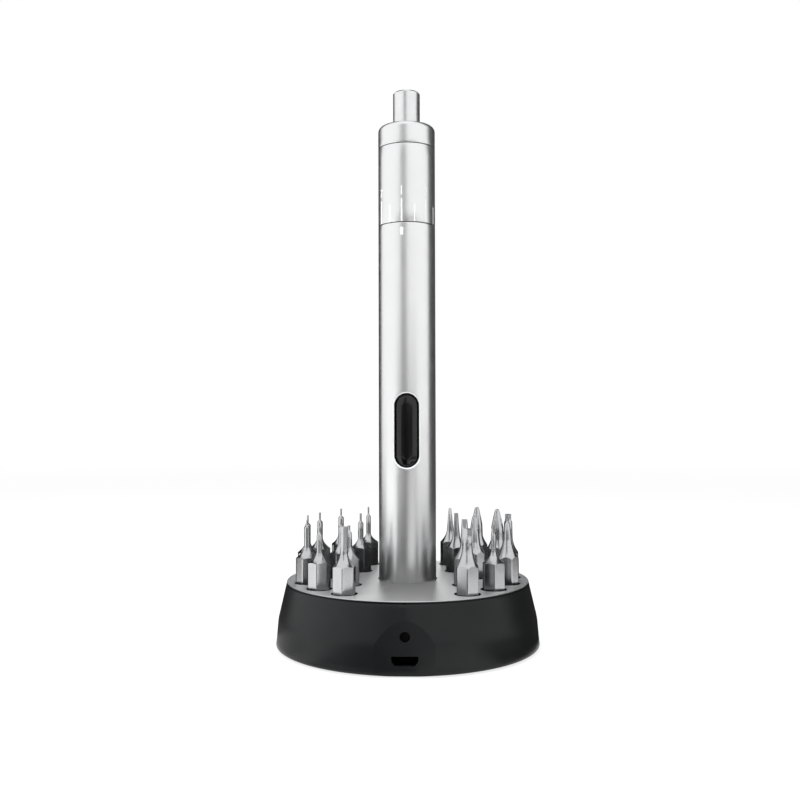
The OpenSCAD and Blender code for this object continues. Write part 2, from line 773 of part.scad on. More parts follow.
module spindle_bearings() {
    color([0.7, 0.71, 0.73]) for (z = bearing_z) translate([0, 0, z]) difference() {
        cylinder(d = bearing_od, h = bearing_w);
        translate([0, 0, -eps]) cylinder(d = spindle_d + 2 * run_gap, h = bearing_w + 1);
        for (side = [-eps, bearing_w - shield_sink]) translate([0, 0, side]) difference() {
            cylinder(d = bearing_od - 2 * outer_race, h = shield_sink + eps);
            translate([0, 0, -1]) cylinder(d = spindle_d + 2 * inner_race, h = bearing_w);
        }
    }
}

module nose_cap() {
    color([0.78, 0.79, 0.8]) difference() {
        rotate_extrude() polygon(concat([[0, nose_z], [driver_r - seam_chamfer, nose_z],
            [driver_r, nose_z + seam_chamfer]],
            [for (k = [0 : 6]) [driver_r - nose_round + nose_round * cos(k * 15),
                nose_top - nose_round + nose_round * sin(k * 15)]], [[0, nose_top]]));
        cylinder(r = cap_bore_r, h = nose_web_z);
        cylinder(r = chuck_d / 2 + chuck_gap, h = 2 * chuck_top);
    }
}

// Driver, moving pieces
module torque_collar() {
    color([0.8, 0.81, 0.82]) difference() {
        chamfered_tube(driver_r, collar_bore_r, collar_z, collar_top, seam_chamfer, seam_chamfer);
        translate([-magnet_size / 2 - run_gap, frame_r - 0.3, collar_z + magnet_rise])
            cube([magnet_size + 2 * run_gap, magnet_t + 0.4, magnet_size + 2 * run_gap]);
    }
}

module collar_magnet() {
    color([0.5, 0.5, 0.52]) translate([-magnet_size / 2, frame_r + 0.1 - run_gap,
        collar_z + magnet_rise + run_gap]) cube([magnet_size, magnet_t, magnet_size]);
}

module chuck_spindle() {
    color([0.72, 0.73, 0.75]) difference() {
        union() {
            translate([0, 0, spindle_z]) cylinder(d = spindle_d, h = chuck_z - spindle_z);
            chamfered_tube(chuck_d / 2, 0, chuck_z, chuck_top, 0.1, 0.5);
        }
        translate([0, 0, socket_z]) cylinder(d = socket_af * 2 / sqrt(3), h = chuck_top, $fn = 6);
        translate([0, 0, socket_z - socket_magnet_h - slip_gap])
            cylinder(d = socket_magnet_d + 2 * run_gap, h = chuck_top);
    }
}

module socket_magnet() {
    color([0.75, 0.75, 0.76]) translate([0, 0, socket_z - socket_magnet_h])
        cylinder(d = socket_magnet_d, h = socket_magnet_h);
}

// Bits. A bit is turned about its own axis, and its underside is the origin of its outline.
function bit_row(name) = [for (row = BITS) if (row[0] == name) row][0];
function tip_size(row) = row[6][0];
function tip_len(row) = row[6][1];
function neck_r(row) = row[6][2] / 2;
function neck_top_r(row) = row[6][3] / 2;
function tip_top(row) = bit_seat + row[6][4];
function neck_end(row) = tip_top(row) - tip_len(row);
function flare_h(row) = row[7][0];
function flare_r(row, t) = neck_r(row) + (bit_c - neck_r(row)) * pow(1 - t, row[7][1]);

// Hex shank with a chamfered foot, its flare and the neck
module bit_shank(row) {
    steps = 7;
    intersection() {
        cylinder(r = bit_c, h = neck_end(row) + 1, $fn = 6);
        rotate_extrude($fn = 48) polygon(concat(
            [[0, 0], [bit_c - bit_foot_chamfer, 0], [bit_c + eps, bit_foot_chamfer]],
            [for (k = [0 : steps]) [flare_r(row, k / steps) + (k == 0 ? eps : 0),
                hex_len + flare_h(row) * k / steps]],
            [[neck_top_r(row), neck_end(row)], [0, neck_end(row)]]));
    }
}

// Six-pointed star, for fine pins and large star tips
module star_tip(row) {
    r = tip_size(row) / 2;
    cone_h = min(0.9, tip_len(row) / 3);
    translate([0, 0, neck_end(row)]) cylinder(r1 = neck_top_r(row), r2 = r, h = cone_h);
    translate([0, 0, neck_end(row)]) linear_extrude(tip_len(row))
        polygon([for (k = [0 : 11]) polar(k % 2 == 0 ? r : 0.76 * r, k * 30)]);
}

// Hex key that starts inside the flare, with a bevelled end
module key_tip(row) {
    r = tip_size(row) / sqrt(3);
    len = tip_len(row) + flare_h(row) / 2;
    bevel = 0.15;
    translate([0, 0, tip_top(row) - len]) intersection() {
        cylinder(r = r, h = len, $fn = 6);
        cylinder(r1 = r - bevel + len, r2 = r - bevel, h = len);
    }
}

// Flat blade: the neck's end ground on two sides to a thin edge
module slot_tip(row) {
    w = tip_size(row);
    edge = w * 0.16;
    intersection() {
        translate([0, 0, neck_end(row)])
            cylinder(r1 = neck_top_r(row), r2 = w / 2, h = tip_len(row));
        rotate([90, 0, 0]) translate([0, 0, -w]) linear_extrude(2 * w)
            polygon([[-neck_top_r(row), neck_end(row)], [neck_top_r(row), neck_end(row)],
                [edge, tip_top(row)], [-edge, tip_top(row)]]);
    }
}

// Cross tip: a blunt cone with four flutes that run out in the neck
module cross_tip(row) {
    r = neck_top_r(row);
    lean = atan((r - cross_core) / tip_len(row));
    difference() {
        rotate_extrude($fn = 48) polygon([[0, neck_end(row)], [r, neck_end(row)],
            [cross_end_r, tip_top(row) - 0.3], [cross_end_r / 2, tip_top(row)], [0, tip_top(row)]]);
        ring_of(4, 45) translate([cross_core, 0, tip_top(row)]) rotate([0, -lean, 0])
            translate([0, 0, -2 * tip_len(row)]) rotate(-45)
                cube([2 * r, 2 * r, 3 * tip_len(row)]);
    }
}

// Three wings round a thin core
module tri_tip(row) {
    wing_r = tip_size(row) / 2;
    translate([0, 0, neck_end(row)])
        cylinder(r1 = neck_top_r(row), r2 = neck_top_r(row) * 0.6, h = tip_len(row) / 2);
    translate([0, 0, neck_end(row)]) linear_extrude(tip_len(row)) {
        circle(r = wing_r * 0.48);
        ring_of(3) translate([0, -wing_r * 0.22]) square([wing_r, wing_r * 0.44]);
    }
}

module bit(name) {
    row = bit_row(name);
    color([0.7, 0.71, 0.72]) at_bit(row) translate([0, 0, bit_z]) rotate(row[4] - 90) {
        bit_shank(row);
        if (row[5] == "star") star_tip(row);
        if (row[5] == "key") key_tip(row);
        if (row[5] == "slot") slot_tip(row);
        if (row[5] == "cross") cross_tip(row);
        if (row[5] == "tri") tri_tip(row);
    }
}

base_shell();
top_plate();
bit_tray();
dock_cup();
magnet_ring();
ballast();
main_board();
status_led();
light_pipe();
usb_port();
contact_board();
charge_pins();
bottom_cover();
cover_screws();
base_pad();
body_tube();
tail_cap();
tail_contacts();
cell();
chassis();
control_board();
tact_switches();
button_bracket();
button_pin();
rocker_button();
motor();
motor_pinion();
gear_case();
planet_gear_1();
planet_gear_2();
planet_gear_3();
planet_carrier();
nose_frame();
sensor_board();
spindle_bearings();
nose_cap();
torque_collar();
collar_magnet();
chuck_spindle();
socket_magnet();
bit("bit_hex_key_2");  // bit_hex_key_2
bit("bit_pin_a");  // bit_pin_a
bit("bit_pin_b");  // bit_pin_b
bit("bit_pin_c");  // bit_pin_c
bit("bit_pin_d");  // bit_pin_d
bit("bit_pin_e");  // bit_pin_e
bit("bit_pin_f");  // bit_pin_f
bit("bit_pin_g");  // bit_pin_g
bit("bit_pin_h");  // bit_pin_h
bit("bit_pin_i");  // bit_pin_i
bit("bit_hex_key_25");  // bit_hex_key_25
bit("bit_tri_wing");  // bit_tri_wing
bit("bit_star_small");  // bit_star_small
bit("bit_star_large");  // bit_star_large
bit("bit_cross_2");  // bit_cross_2
bit("bit_cross_1");  // bit_cross_1
bit("bit_slot_narrow");  // bit_slot_narrow
bit("bit_slot_wide");  // bit_slot_wide
bit("bit_cross_0");  // bit_cross_0
bit("bit_slot_medium");  // bit_slot_medium
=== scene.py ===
import json
from math import acos, atan2, cos, degrees, pi, radians, sin, sqrt, tan

import bmesh
import bpy
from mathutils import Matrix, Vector


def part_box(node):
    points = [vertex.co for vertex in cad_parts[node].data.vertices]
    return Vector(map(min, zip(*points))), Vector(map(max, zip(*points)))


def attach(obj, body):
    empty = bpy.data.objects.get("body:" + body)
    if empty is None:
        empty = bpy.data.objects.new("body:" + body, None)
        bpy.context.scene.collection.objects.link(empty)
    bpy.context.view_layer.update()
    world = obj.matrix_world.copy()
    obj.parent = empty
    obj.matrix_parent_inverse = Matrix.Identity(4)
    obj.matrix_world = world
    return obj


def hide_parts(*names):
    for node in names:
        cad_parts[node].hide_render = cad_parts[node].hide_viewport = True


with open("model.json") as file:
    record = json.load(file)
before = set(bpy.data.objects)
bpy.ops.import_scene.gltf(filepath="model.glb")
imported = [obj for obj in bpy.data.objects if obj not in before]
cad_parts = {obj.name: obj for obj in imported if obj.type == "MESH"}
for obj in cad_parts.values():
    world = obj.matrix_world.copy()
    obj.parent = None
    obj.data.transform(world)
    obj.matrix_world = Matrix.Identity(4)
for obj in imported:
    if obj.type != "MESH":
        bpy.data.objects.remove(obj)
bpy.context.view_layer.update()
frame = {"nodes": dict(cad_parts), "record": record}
scene = bpy.context.scene
mm = 0.001

# The photograph's viewing angle, for an image of 800 x 800
cameraView = {
    "place": (6.46, -304.7, 72.88),  # mm
    "pitchUp": 1.15,  # degrees above the horizon
    "turn": 1.66,  # degrees about Z, towards -X
    "roll": 0.14,
    "lens": 41.89,  # mm, as is the sensor's width
    "sensorWidth": 36,
    "clip": (0.01, 20),  # metres
}


def placeCamera(view):
    data = bpy.data.cameras.new("photoCamera")
    data.lens = view["lens"]
    data.sensor_width = view["sensorWidth"]
    data.clip_start, data.clip_end = view["clip"]
    camera = bpy.data.objects.new("photoCamera", data)
    camera.location = [mm * v for v in view["place"]]
    camera.rotation_euler = [radians(a) for a in (90 + view["pitchUp"], view["roll"], view["turn"])]
    scene.collection.objects.link(camera)
    scene.camera = camera


placeCamera(cameraView)
print("camera placed")


# Node helpers, for the finishes and for the studio
class Nodes:
    def __init__(self, tree):
        self.tree = tree
        tree.nodes.clear()

    def add(self, kind, values=None):
        node = self.tree.nodes.new("ShaderNode" + kind)
        for key, value in (values or {}).items():
            self.feed(node.inputs[key], value)
        return node

    def link(self, source, target):
        self.tree.links.new(source, target)

    # a socket takes a number, a colour or the output of another node
    def feed(self, slot, value):
        if isinstance(value, (int, float)):
            slot.default_value = value
        elif isinstance(value, tuple):
            slot.default_value = (*value, 1)
        else:
            self.link(value, slot)

    def feedAll(self, slots, *values):
        for slot, value in zip(slots, values):
            self.feed(slot, value)

    def between(self, source, low, high, fromLow=0.3, fromHigh=0.7):
        node = self.add("MapRange", {"Value": source, "From Min": fromLow, "From Max": fromHigh,
                                     "To Min": low, "To Max": high})
        return node.outputs["Result"]

    def maths(self, operation, first, second):
        node = self.add("Math")
        node.operation = operation
        self.feedAll(node.inputs, first, second)
        return node.outputs["Value"]

    def mixShader(self, factor, first, second):
        node = self.add("MixShader")
        self.feedAll(node.inputs, factor, first, second)
        return node.outputs[0]

    def glow(self, kind, strength, grey=1):
        return self.add(kind, {"Color": (grey, grey, grey), "Strength": strength}).outputs[0]


class Finish(Nodes):
    def __init__(self, name):
        self.material = bpy.data.materials.new(name)
        self.material.use_nodes = True
        super().__init__(self.material.node_tree)
        self.shader = self.add("BsdfPrincipled")
        self.link(self.shader.outputs["BSDF"], self.add("OutputMaterial").inputs["Surface"])
        self.coordinates = self.add("TexCoord")
        self.place = self.coordinates.outputs["Object"]

    def stretched(self, scale):
        mapping = self.add("Mapping", {"Vector": self.place})
        mapping.inputs["Scale"].default_value = scale
        return mapping.outputs["Vector"]

    def noise(self, scale, detail=3.0, rough=0.5, vector=None):
        node = self.add("TexNoise", {"Scale": scale, "Detail": detail, "Roughness": rough,
                                     "Vector": vector or self.place})
        return node.outputs["Fac"]

    def cells(self, scale):
        return self.add("TexVoronoi", {"Scale": scale, "Vector": self.place}).outputs["Distance"]

    # the look's dark colour turns to its light one over the middle of the source's range
    def tint(self, source, look, edge=0.35):
        node = self.add("ValToRGB", {"Fac": source})
        low, high = node.color_ramp.elements
        low.position, high.position = edge, 1 - edge
        low.color, high.color = (*look["dark"], 1), (*look["light"], 1)
        return node.outputs["Color"]

    def mix(self, factor, first, second):
        node = self.add("Mix")
        node.data_type = "RGBA"
        self.feedAll((node.inputs[0], node.inputs[6], node.inputs[7]), factor, first, second)
        return node.outputs[2]

    def bump(self, height, strength, depth):
        return self.add("Bump", {"Height": height, "Strength": strength, "Distance": depth}).outputs["Normal"]

    def set(self, **values):
        for key, value in values.items():
            self.feed(self.shader.inputs[socketNames[key]], value)


socketNames = {
    "colour": "Base Color", "metal": "Metallic", "rough": "Roughness", "normal": "Normal",
    "coat": "Coat Weight", "coatRough": "Coat Roughness", "specular": "Specular IOR Level",
}

# Plain finishes: two colours and the scale of the patches between them (per metre), the roughness
# range, and the grain's scale, strength and depth in metres. Metal and specular may be left out
finishColumns = ("dark", "light", "patch", "rough", "grain", "strength", "depth", "metal", "specular")
finishTable = {
    "dockPlastic": ((0.0062, 0.0065, 0.0072), (0.0088, 0.0093, 0.01), 60, (0.3, 0.37),
                    5200, 0.22, 2e-5, 0, 0.27),
    "blackPlastic": ((0.004, 0.004, 0.0042), (0.008, 0.008, 0.0083), 160, (0.45, 0.6),
                     6000, 0.2, 2e-5, 0, 0.25),
    "framePlastic": ((0.05, 0.05, 0.055), (0.08, 0.08, 0.085), 200, (0.4, 0.55), 5000, 0.2, 2e-5),
    "footRubber": ((0.014, 0.014, 0.014), (0.03, 0.03, 0.029), 90, (0.75, 0.92), 2600, 0.5, 6e-5),
    "portSteel": ((0.002, 0.002, 0.0022), (0.005, 0.005, 0.0052), 900, (0.45, 0.6), 7000, 0.1, 1e-5, 1),
    "plainSteel": ((0.42, 0.42, 0.43), (0.56, 0.56, 0.57), 300, (0.25, 0.4), 4000, 0.12, 1e-5, 1),
    "contactGold": ((0.75, 0.52, 0.22), (0.92, 0.68, 0.32), 700, (0.16, 0.28), 8000, 0.08, 1e-5, 1),
    "gearBrass": ((0.62, 0.45, 0.18), (0.78, 0.6, 0.28), 500, (0.25, 0.38), 6000, 0.15, 1e-5, 1),
    "magnetPlate": ((0.36, 0.35, 0.34), (0.5, 0.49, 0.47), 400, (0.3, 0.5), 3500, 0.2, 2e-5, 1),
    "ledLens": ((0.75, 0.76, 0.62), (0.9, 0.9, 0.8), 1500, (0.15, 0.3), 9000, 0.05, 1e-5),
    "smokedLens": ((0.0006, 0.0006, 0.0006), (0.0016, 0.0016, 0.0018), 800, (0.35, 0.5),
                   6000, 0.05, 1e-5, 0, 0.08),
    "markPaint": ((0.93, 0.93, 0.93), (0.98, 0.98, 0.98), 2500, (0.5, 0.65), 9000, 0.1, 1e-5),
}


def plainFinish(name, look):
    f = Finish(name)
    grain = f.noise(look["grain"], 2, 0.6)
    f.set(colour=f.tint(f.noise(look["patch"], 4), look), metal=look.get("metal", 0),
          specular=look.get("specular", 0.5), rough=f.between(grain, *look["rough"]),
          normal=f.bump(grain, look["strength"], look["depth"]))
    return f.material


# Bead-blasted aluminium: fine pits, faint cloudy changes in brightness and gloss. The plate is
# smoother; its rim and its hole walls are painted near-black, painted shade for the gap under the rim and the
# shade in the holes. The cut edge round the button's slot is bright bare metal with a painted highlight
aluminiumLook = {
    "satinAluminium": {"dark": (0.89, 0.895, 0.90), "light": (0.93, 0.932, 0.938), "metal": 1,
                       "rough": (0.28, 0.33), "pits": 7000, "pitDepth": 5e-6, "pitStrength": 0.06},
    # plateAluminium's wall colour is painted shade: near-black on every face of the plate that doesn't face
    # up
    "plateAluminium": {"dark": (0.78, 0.785, 0.79), "light": (0.82, 0.822, 0.828), "metal": 0.86,
                       "rough": (0.36, 0.42), "pits": 8000, "pitDepth": 5e-6, "pitStrength": 0.06,
                       "wall": (0.012, 0.012, 0.013)},
    # the cut edge: bare cut metal with a painted highlight, near-white and partly plain so it stays bright
    # whichever way it faces
    "cutAluminium": {"dark": (0.97, 0.97, 0.97), "light": (0.99, 0.99, 0.99), "metal": 0.4,
                     "rough": (0.3, 0.36), "pits": 9000, "pitDepth": 2e-6, "pitStrength": 0.05},
}


def aluminiumFinish(name, look):
    f = Finish(name)
    colour = f.tint(f.noise(45, 5), look, 0.3)
    # painted shade: faces that don't face up, the plate's rim and hole walls, take the near-black wall colour
    if "wall" in look:
        split = f.add("SeparateXYZ")
        f.link(f.coordinates.outputs["Normal"], split.inputs[0])
        facesUp = f.between(split.outputs["Z"], 0, 1, 0.3, 0.8)
        colour = f.mix(facesUp, look["wall"], colour)
    f.set(colour=colour, metal=look["metal"], rough=f.between(f.noise(240, 4), *look["rough"]),
          normal=f.bump(f.noise(look["pits"], 2, 0.6), look["pitStrength"], look["pitDepth"]))
    return f.material


# Ground steel of the bits: lines along the shank under thin satin plating
bitLook = {
    "dark": (0.56, 0.565, 0.575), "light": (0.62, 0.625, 0.635),
    "rough": (0.17, 0.24), "lineScale": 5200, "lineStrength": 0.06, "lineDepth": 5e-6,
}


def bitFinish(look):
    f = Finish("bitSteel")
    lines = f.noise(look["lineScale"], 3, 0.6, f.stretched((1, 1, 0.06)))
    cloud = f.noise(420, 4)
    wear = f.maths("ADD", lines, f.maths("MULTIPLY", cloud, 0.5))
    f.set(colour=f.tint(cloud, look, 0.32), metal=1, rough=f.between(wear, *look["rough"], 0.55, 0.95),
          normal=f.bump(lines, look["lineStrength"], look["lineDepth"]))
    return f.material


# Turned steel of the chuck: fine rings round the axis
chuckLook = {
    "dark": (0.85, 0.855, 0.86), "light": (0.91, 0.915, 0.92),
    "rough": (0.28, 0.34), "ringScale": 2600, "ringStrength": 0.15, "ringDepth": 8e-6,
}


def chuckFinish(look):
    f = Finish("chuckSteel")
    rings = f.noise(look["ringScale"], 3, 0.6, f.stretched((0.05, 0.05, 1)))
    f.set(colour=f.tint(f.noise(300, 3), look, 0.3), metal=1, rough=f.between(rings, *look["rough"]),
          normal=f.bump(rings, look["ringStrength"], look["ringDepth"]))
    return f.material


# Satin black plastic of the rocker, a little worn to gloss in the middle
buttonLook = {
    "dark": (0.0008, 0.0008, 0.0009), "light": (0.0018, 0.0018, 0.0019), "rough": (0.13, 0.18),
    "grain": 6500, "specular": 0.5,
}


def buttonFinish(look):
    f = Finish("buttonPlastic")
    grain = f.noise(look["grain"], 2, 0.6)
    wear = f.noise(110, 3, 0.5, f.stretched((1, 1, 0.5)))
    gloss = f.maths("ADD", f.maths("MULTIPLY", wear, 0.7), f.maths("MULTIPLY", grain, 0.3))
    f.set(colour=f.tint(wear, look), rough=f.between(gloss, *look["rough"]),
          specular=look["specular"], normal=f.bump(grain, 0.1, 1e-5))
    return f.material


# Green solder mask with copper tracks and tinned pads showing through
boardLook = {
    "mask": (0.012, 0.10, 0.045), "track": (0.03, 0.19, 0.08), "pad": (0.78, 0.76, 0.7), "padScale": 700,
    "trackShape": {"Scale": 320, "Mortar Size": 0.03, "Brick Width": 0.9, "Row Height": 0.22},
}


def boardFinish(look):
    f = Finish("circuitBoard")
    tracks = f.add("TexBrick", {"Vector": f.place, **look["trackShape"]})
    tracks.offset = 0.37
    pads = f.between(f.cells(look["padScale"]), 1, 0, 0.12, 0.16)
    trackColour = f.mix(f.between(tracks.outputs["Fac"], 0, 1, 0.2, 0.8), look["mask"], look["track"])
    f.set(colour=f.mix(pads, trackColour, look["pad"]), metal=f.maths("MULTIPLY", pads, 0.9),
          rough=f.between(f.noise(900, 3), 0.22, 0.4), normal=f.bump(tracks.outputs["Fac"], 0.3, 3e-5))
    return f.material


# Heat-shrunk sleeve of the cell, with a faint wrinkle
cellLook = {"dark": (0.02, 0.07, 0.22), "light": (0.035, 0.11, 0.32), "coat": 0.4, "coatRough": 0.15}


def cellFinish(look):
    f = Finish("cellSleeve")
    wrinkle = f.noise(130, 4, 0.6, f.stretched((1, 1, 0.25)))
    f.set(colour=f.tint(wrinkle, look, 0.3), rough=f.between(wrinkle, 0.2, 0.34),
          normal=f.bump(wrinkle, 0.3, 0.00012), coat=look["coat"], coatRough=look["coatRough"])
    return f.material


finishes = {name: plainFinish(name, dict(zip(finishColumns, row))) for name, row in finishTable.items()}
finishes.update({name: aluminiumFinish(name, look) for name, look in aluminiumLook.items()})
finishes["bitSteel"] = bitFinish(bitLook)
finishes["chuckSteel"] = chuckFinish(chuckLook)
finishes["buttonPlastic"] = buttonFinish(buttonLook)
finishes["circuitBoard"] = boardFinish(boardLook)
finishes["cellSleeve"] = cellFinish(cellLook)
print("finishes:", len(finishes))

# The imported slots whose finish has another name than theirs
slotFinish = {
    "rubber": "footRubber", "led": "ledLens", "steel": "plainSteel", "magnet": "magnetPlate",
    "cell_wrap": "cellSleeve",
}


def camelCase(name):
    first, *others = name.split("_")
    return first + "".join(word.capitalize() for word in others)


def dressNodes():
    for row in frame["record"]["subparts"]:
        materials = frame["nodes"][row["node"]].data.materials
        materials.clear()
        slot = row["material_slot"]
        materials.append(finishes[slotFinish.get(slot) or camelCase(slot)])


dressNodes()
print("carried-over nodes dressed")


# Mesh helpers. A point at a distance from the axis, its angle counted from the front
def around(radius, angle, z):
    return radius * sin(angle), -radius * cos(angle), z


def fullTurn(count):
    return [2 * pi * k / count for k in range(count)]


def bridge(bm, first, second, closed=True, finish=0):
    count = len(first)
    for i in range(count if closed else count - 1):
        j = (i + 1) % count
        bm.faces.new((first[i], first[j], second[j], second[i])).material_index = finish


def skinRows(bm, rows, closed=True):
    made = [[bm.verts.new(p) for p in row] for row in rows]
    for low, high in zip(made, made[1:]):
        bridge(bm, low, high, closed)
    return made


def solidRows(bm, rows):
    made = skinRows(bm, rows)
    bm.faces.new(made[0])
    bm.faces.new(made[-1])


def capRow(bm, row):
    tip = bm.verts.new(sum((v.co for v in row), Vector()) / len(row))
    for i in range(len(row)):
        bm.faces.new((row[i], row[(i + 1) % len(row)], tip))


def lathe(bm, profile, columns):
    made = skinRows(bm, [[around(radius, a, z) for a in fullTurn(columns)] for radius, z in profile])
    bridge(bm, made[-1], made[0])


def arc(centre, radius, start, end, steps):
    turns = [radians(start + (end - start) * k / steps) for k in range(steps + 1)]
    return [(centre[0] + radius * cos(a), centre[1] + radius * sin(a)) for a in turns]


# Small round from the end of a turned part at z to its side; way is 1 at its foot and -1 at its top
def softEnd(radius, z, edge, cut, way):
    return [(radius - cut, z), (radius - 0.3 * cut, z + way * 0.3 * edge), (radius, z + way * edge)]


def objectFrom(bm, name, materials=()):
    mesh = bpy.data.meshes.new(name)
    bm.to_mesh(mesh)
    bm.free()
    for material in materials:
        mesh.materials.append(material)
    made = bpy.data.objects.new(name, mesh)
    scene.collection.objects.link(made)
    return made


def addPiece(name, bm, finish, body, replaces=(), sharpAngle=35, scaled=True, second=None):
    if scaled:
        bmesh.ops.scale(bm, vec=(mm, mm, mm), verts=bm.verts)
    bmesh.ops.remove_doubles(bm, verts=bm.verts, dist=1e-7)
    bmesh.ops.recalc_face_normals(bm, faces=bm.faces)
    limit = radians(sharpAngle)
    for edge in bm.edges:
        if len(edge.link_faces) == 2 and edge.smooth:
            edge.smooth = edge.calc_face_angle(0) < limit
    for face in bm.faces:
        face.smooth = True
    piece = objectFrom(bm, name, [finishes[key] for key in (finish, second) if key])
    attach(piece, body)
    if replaces:
        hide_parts(*replaces)
    return piece


# Pill-shaped slot and rocker: every point of the rectangle round them is tied to one of the pill's
def pillAim(x, z, width, height):
    half = (height - width) / 2
    heart = Vector((0, max(-half, min(half, z))))
    away = Vector((x, z)) - heart
    return heart, away.normalized()


tubeShape = {
    "radius": 9.3, "bore": 8.1, "bottom": 13.5, "top": 135.6, "edge": 0.15,
    "slotWidth": 7.9, "slotHeight": 23.7, "slotMiddle": 69.15, "slotChamfer": 0.44, "lipSteps": 4,
    "frontHalf": 42, "frontColumns": 20, "backColumns": 68, "slotRows": 34, "margin": 3.2,
    "endBand": 0.6, "lowRows": 10, "highRows": 14, "blendShares": (0.4, 0.7, 0.88),
}


def slottedTube(shape):
    bm = bmesh.new()
    outer, inner, edge = shape["radius"], shape["bore"], shape["edge"]
    last, slotRows, slotMiddle = shape["frontColumns"], shape["slotRows"], shape["slotMiddle"]
    front = [radians(-shape["frontHalf"] + 2 * shape["frontHalf"] * k / last) for k in range(last + 1)]
    backSpan = 2 * pi - 2 * radians(shape["frontHalf"])
    back = [front[-1] + backSpan * k / shape["backColumns"] for k in range(1, shape["backColumns"])]
    angles = front + back
    reach = shape["slotHeight"] / 2 + shape["margin"]
    low, high = slotMiddle - reach, slotMiddle + reach
    foot, head = shape["bottom"] + shape["endBand"], shape["top"] - shape["endBand"]
    heights = [foot + (low - foot) * k / shape["lowRows"] for k in range(shape["lowRows"])]
    heights += [low + (high - low) * k / slotRows for k in range(slotRows + 1)]
    heights += [high + (head - high) * k / shape["highRows"] for k in range(1, shape["highRows"] + 1)]

    # one wall of the tube, open where the slot comes, and the loop of points round that opening
    def sheet(radius, cut):
        ends = softEnd(radius, shape["bottom"], edge, cut, 1)
        tops = softEnd(radius, shape["top"], edge, cut, -1)[::-1]
        rows = [[bm.verts.new(around(r, a, z)) for a in angles]
                for r, z in ends + [(radius, z) for z in heights] + tops]
        firstRow = len(ends) + shape["lowRows"]
        lastRow = firstRow + slotRows
        for j in range(len(rows) - 1):
            for i in range(len(angles)):
                if i < last and firstRow <= j < lastRow:
                    continue
                k = (i + 1) % len(angles)
                bm.faces.new((rows[j][i], rows[j][k], rows[j + 1][k], rows[j + 1][i]))
        loop = rows[firstRow][:last]
        loop += [rows[j][last] for j in range(firstRow, lastRow)]
        loop += [rows[lastRow][i] for i in range(last, 0, -1)]
        loop += [rows[j][0] for j in range(lastRow, firstRow, -1)]
        return rows, loop

    outerRows, outerLoop = sheet(outer, edge)
    innerRows, innerLoop = sheet(inner, 0)
    bridge(bm, outerRows[0], innerRows[0])
    bridge(bm, outerRows[-1], innerRows[-1])
    width, height, cut = shape["slotWidth"], shape["slotHeight"], shape["slotChamfer"]
    aims = [pillAim(v.co.x, v.co.z - slotMiddle, width, height) for v in outerLoop]

    def onWall(radius, x, z, depth=0):
        return x, -(sqrt(radius * radius - x * x) - depth), z

    def pillRing(grow, depth, radius):
        points = [heart + away * (width / 2 + grow) for heart, away in aims]
        return [onWall(radius, p.x, p.y + slotMiddle, depth) for p in points]

    def addRing(previous, points, finish=0):
        current = [bm.verts.new(p) for p in points]
        bridge(bm, previous, current, finish=finish)
        return current

    def blendRings(loop, target, radius):
        starts = [Vector((v.co.x, v.co.z)) for v in loop]
        ends = [Vector((x, z)) for x, y, z in target]
        for share in shape["blendShares"]:
            points = [start.lerp(end, share) for start, end in zip(starts, ends)]
            loop = addRing(loop, [onWall(radius, p.x, p.y) for p in points])
        return addRing(loop, target)

    lip = blendRings(outerLoop, pillRing(cut, 0, outer), outer)
    # the chamfer round the slot takes the second finish, bare cut metal with a painted highlight
    for k in range(1, shape["lipSteps"] + 1):
        a = pi / 2 * k / shape["lipSteps"]
        lip = addRing(lip, pillRing(cut * (1 - sin(a)), cut * (1 - cos(a)), outer), 1)
    bridge(bm, lip, blendRings(innerLoop, pillRing(0, 0, inner), inner))
    addPiece("bodyTube", bm, "satinAluminium", "driver", ["body_tube"], 40,
             second="cutAluminium")


slottedTube(tubeShape)

rockerShape = {
    "width": 7.3, "height": 23.1, "middle": 69.15, "faceRadius": 9.2, "back": 7.3, "rim": 0.5,
    "shoulder": 2.5, "shoulderDrop": 0.85,
    "insets": (0.0, 0.1, 0.22, 0.36, 0.52, 0.7, 0.9, 1.1, 1.35, 1.6, 1.9, 2.3, 2.7, 3.2, 3.649),
    "bossWidth": 5, "bossHeight": 2.6, "bossDepth": 2.4, "pinBore": 0.55, "pivot": 6.2,
    "plungerRadius": 0.8, "plungerReach": 7.2, "plungerTip": 5.65, "plungerRound": 0.15,
    "plungerSink": 0.1, "plungerEnd": 0.8,  # share of the radius that is left at the tip
    "turnSteps": 20, "sideSteps": 16, "plungerSides": 20, "bossSides": 24,
}


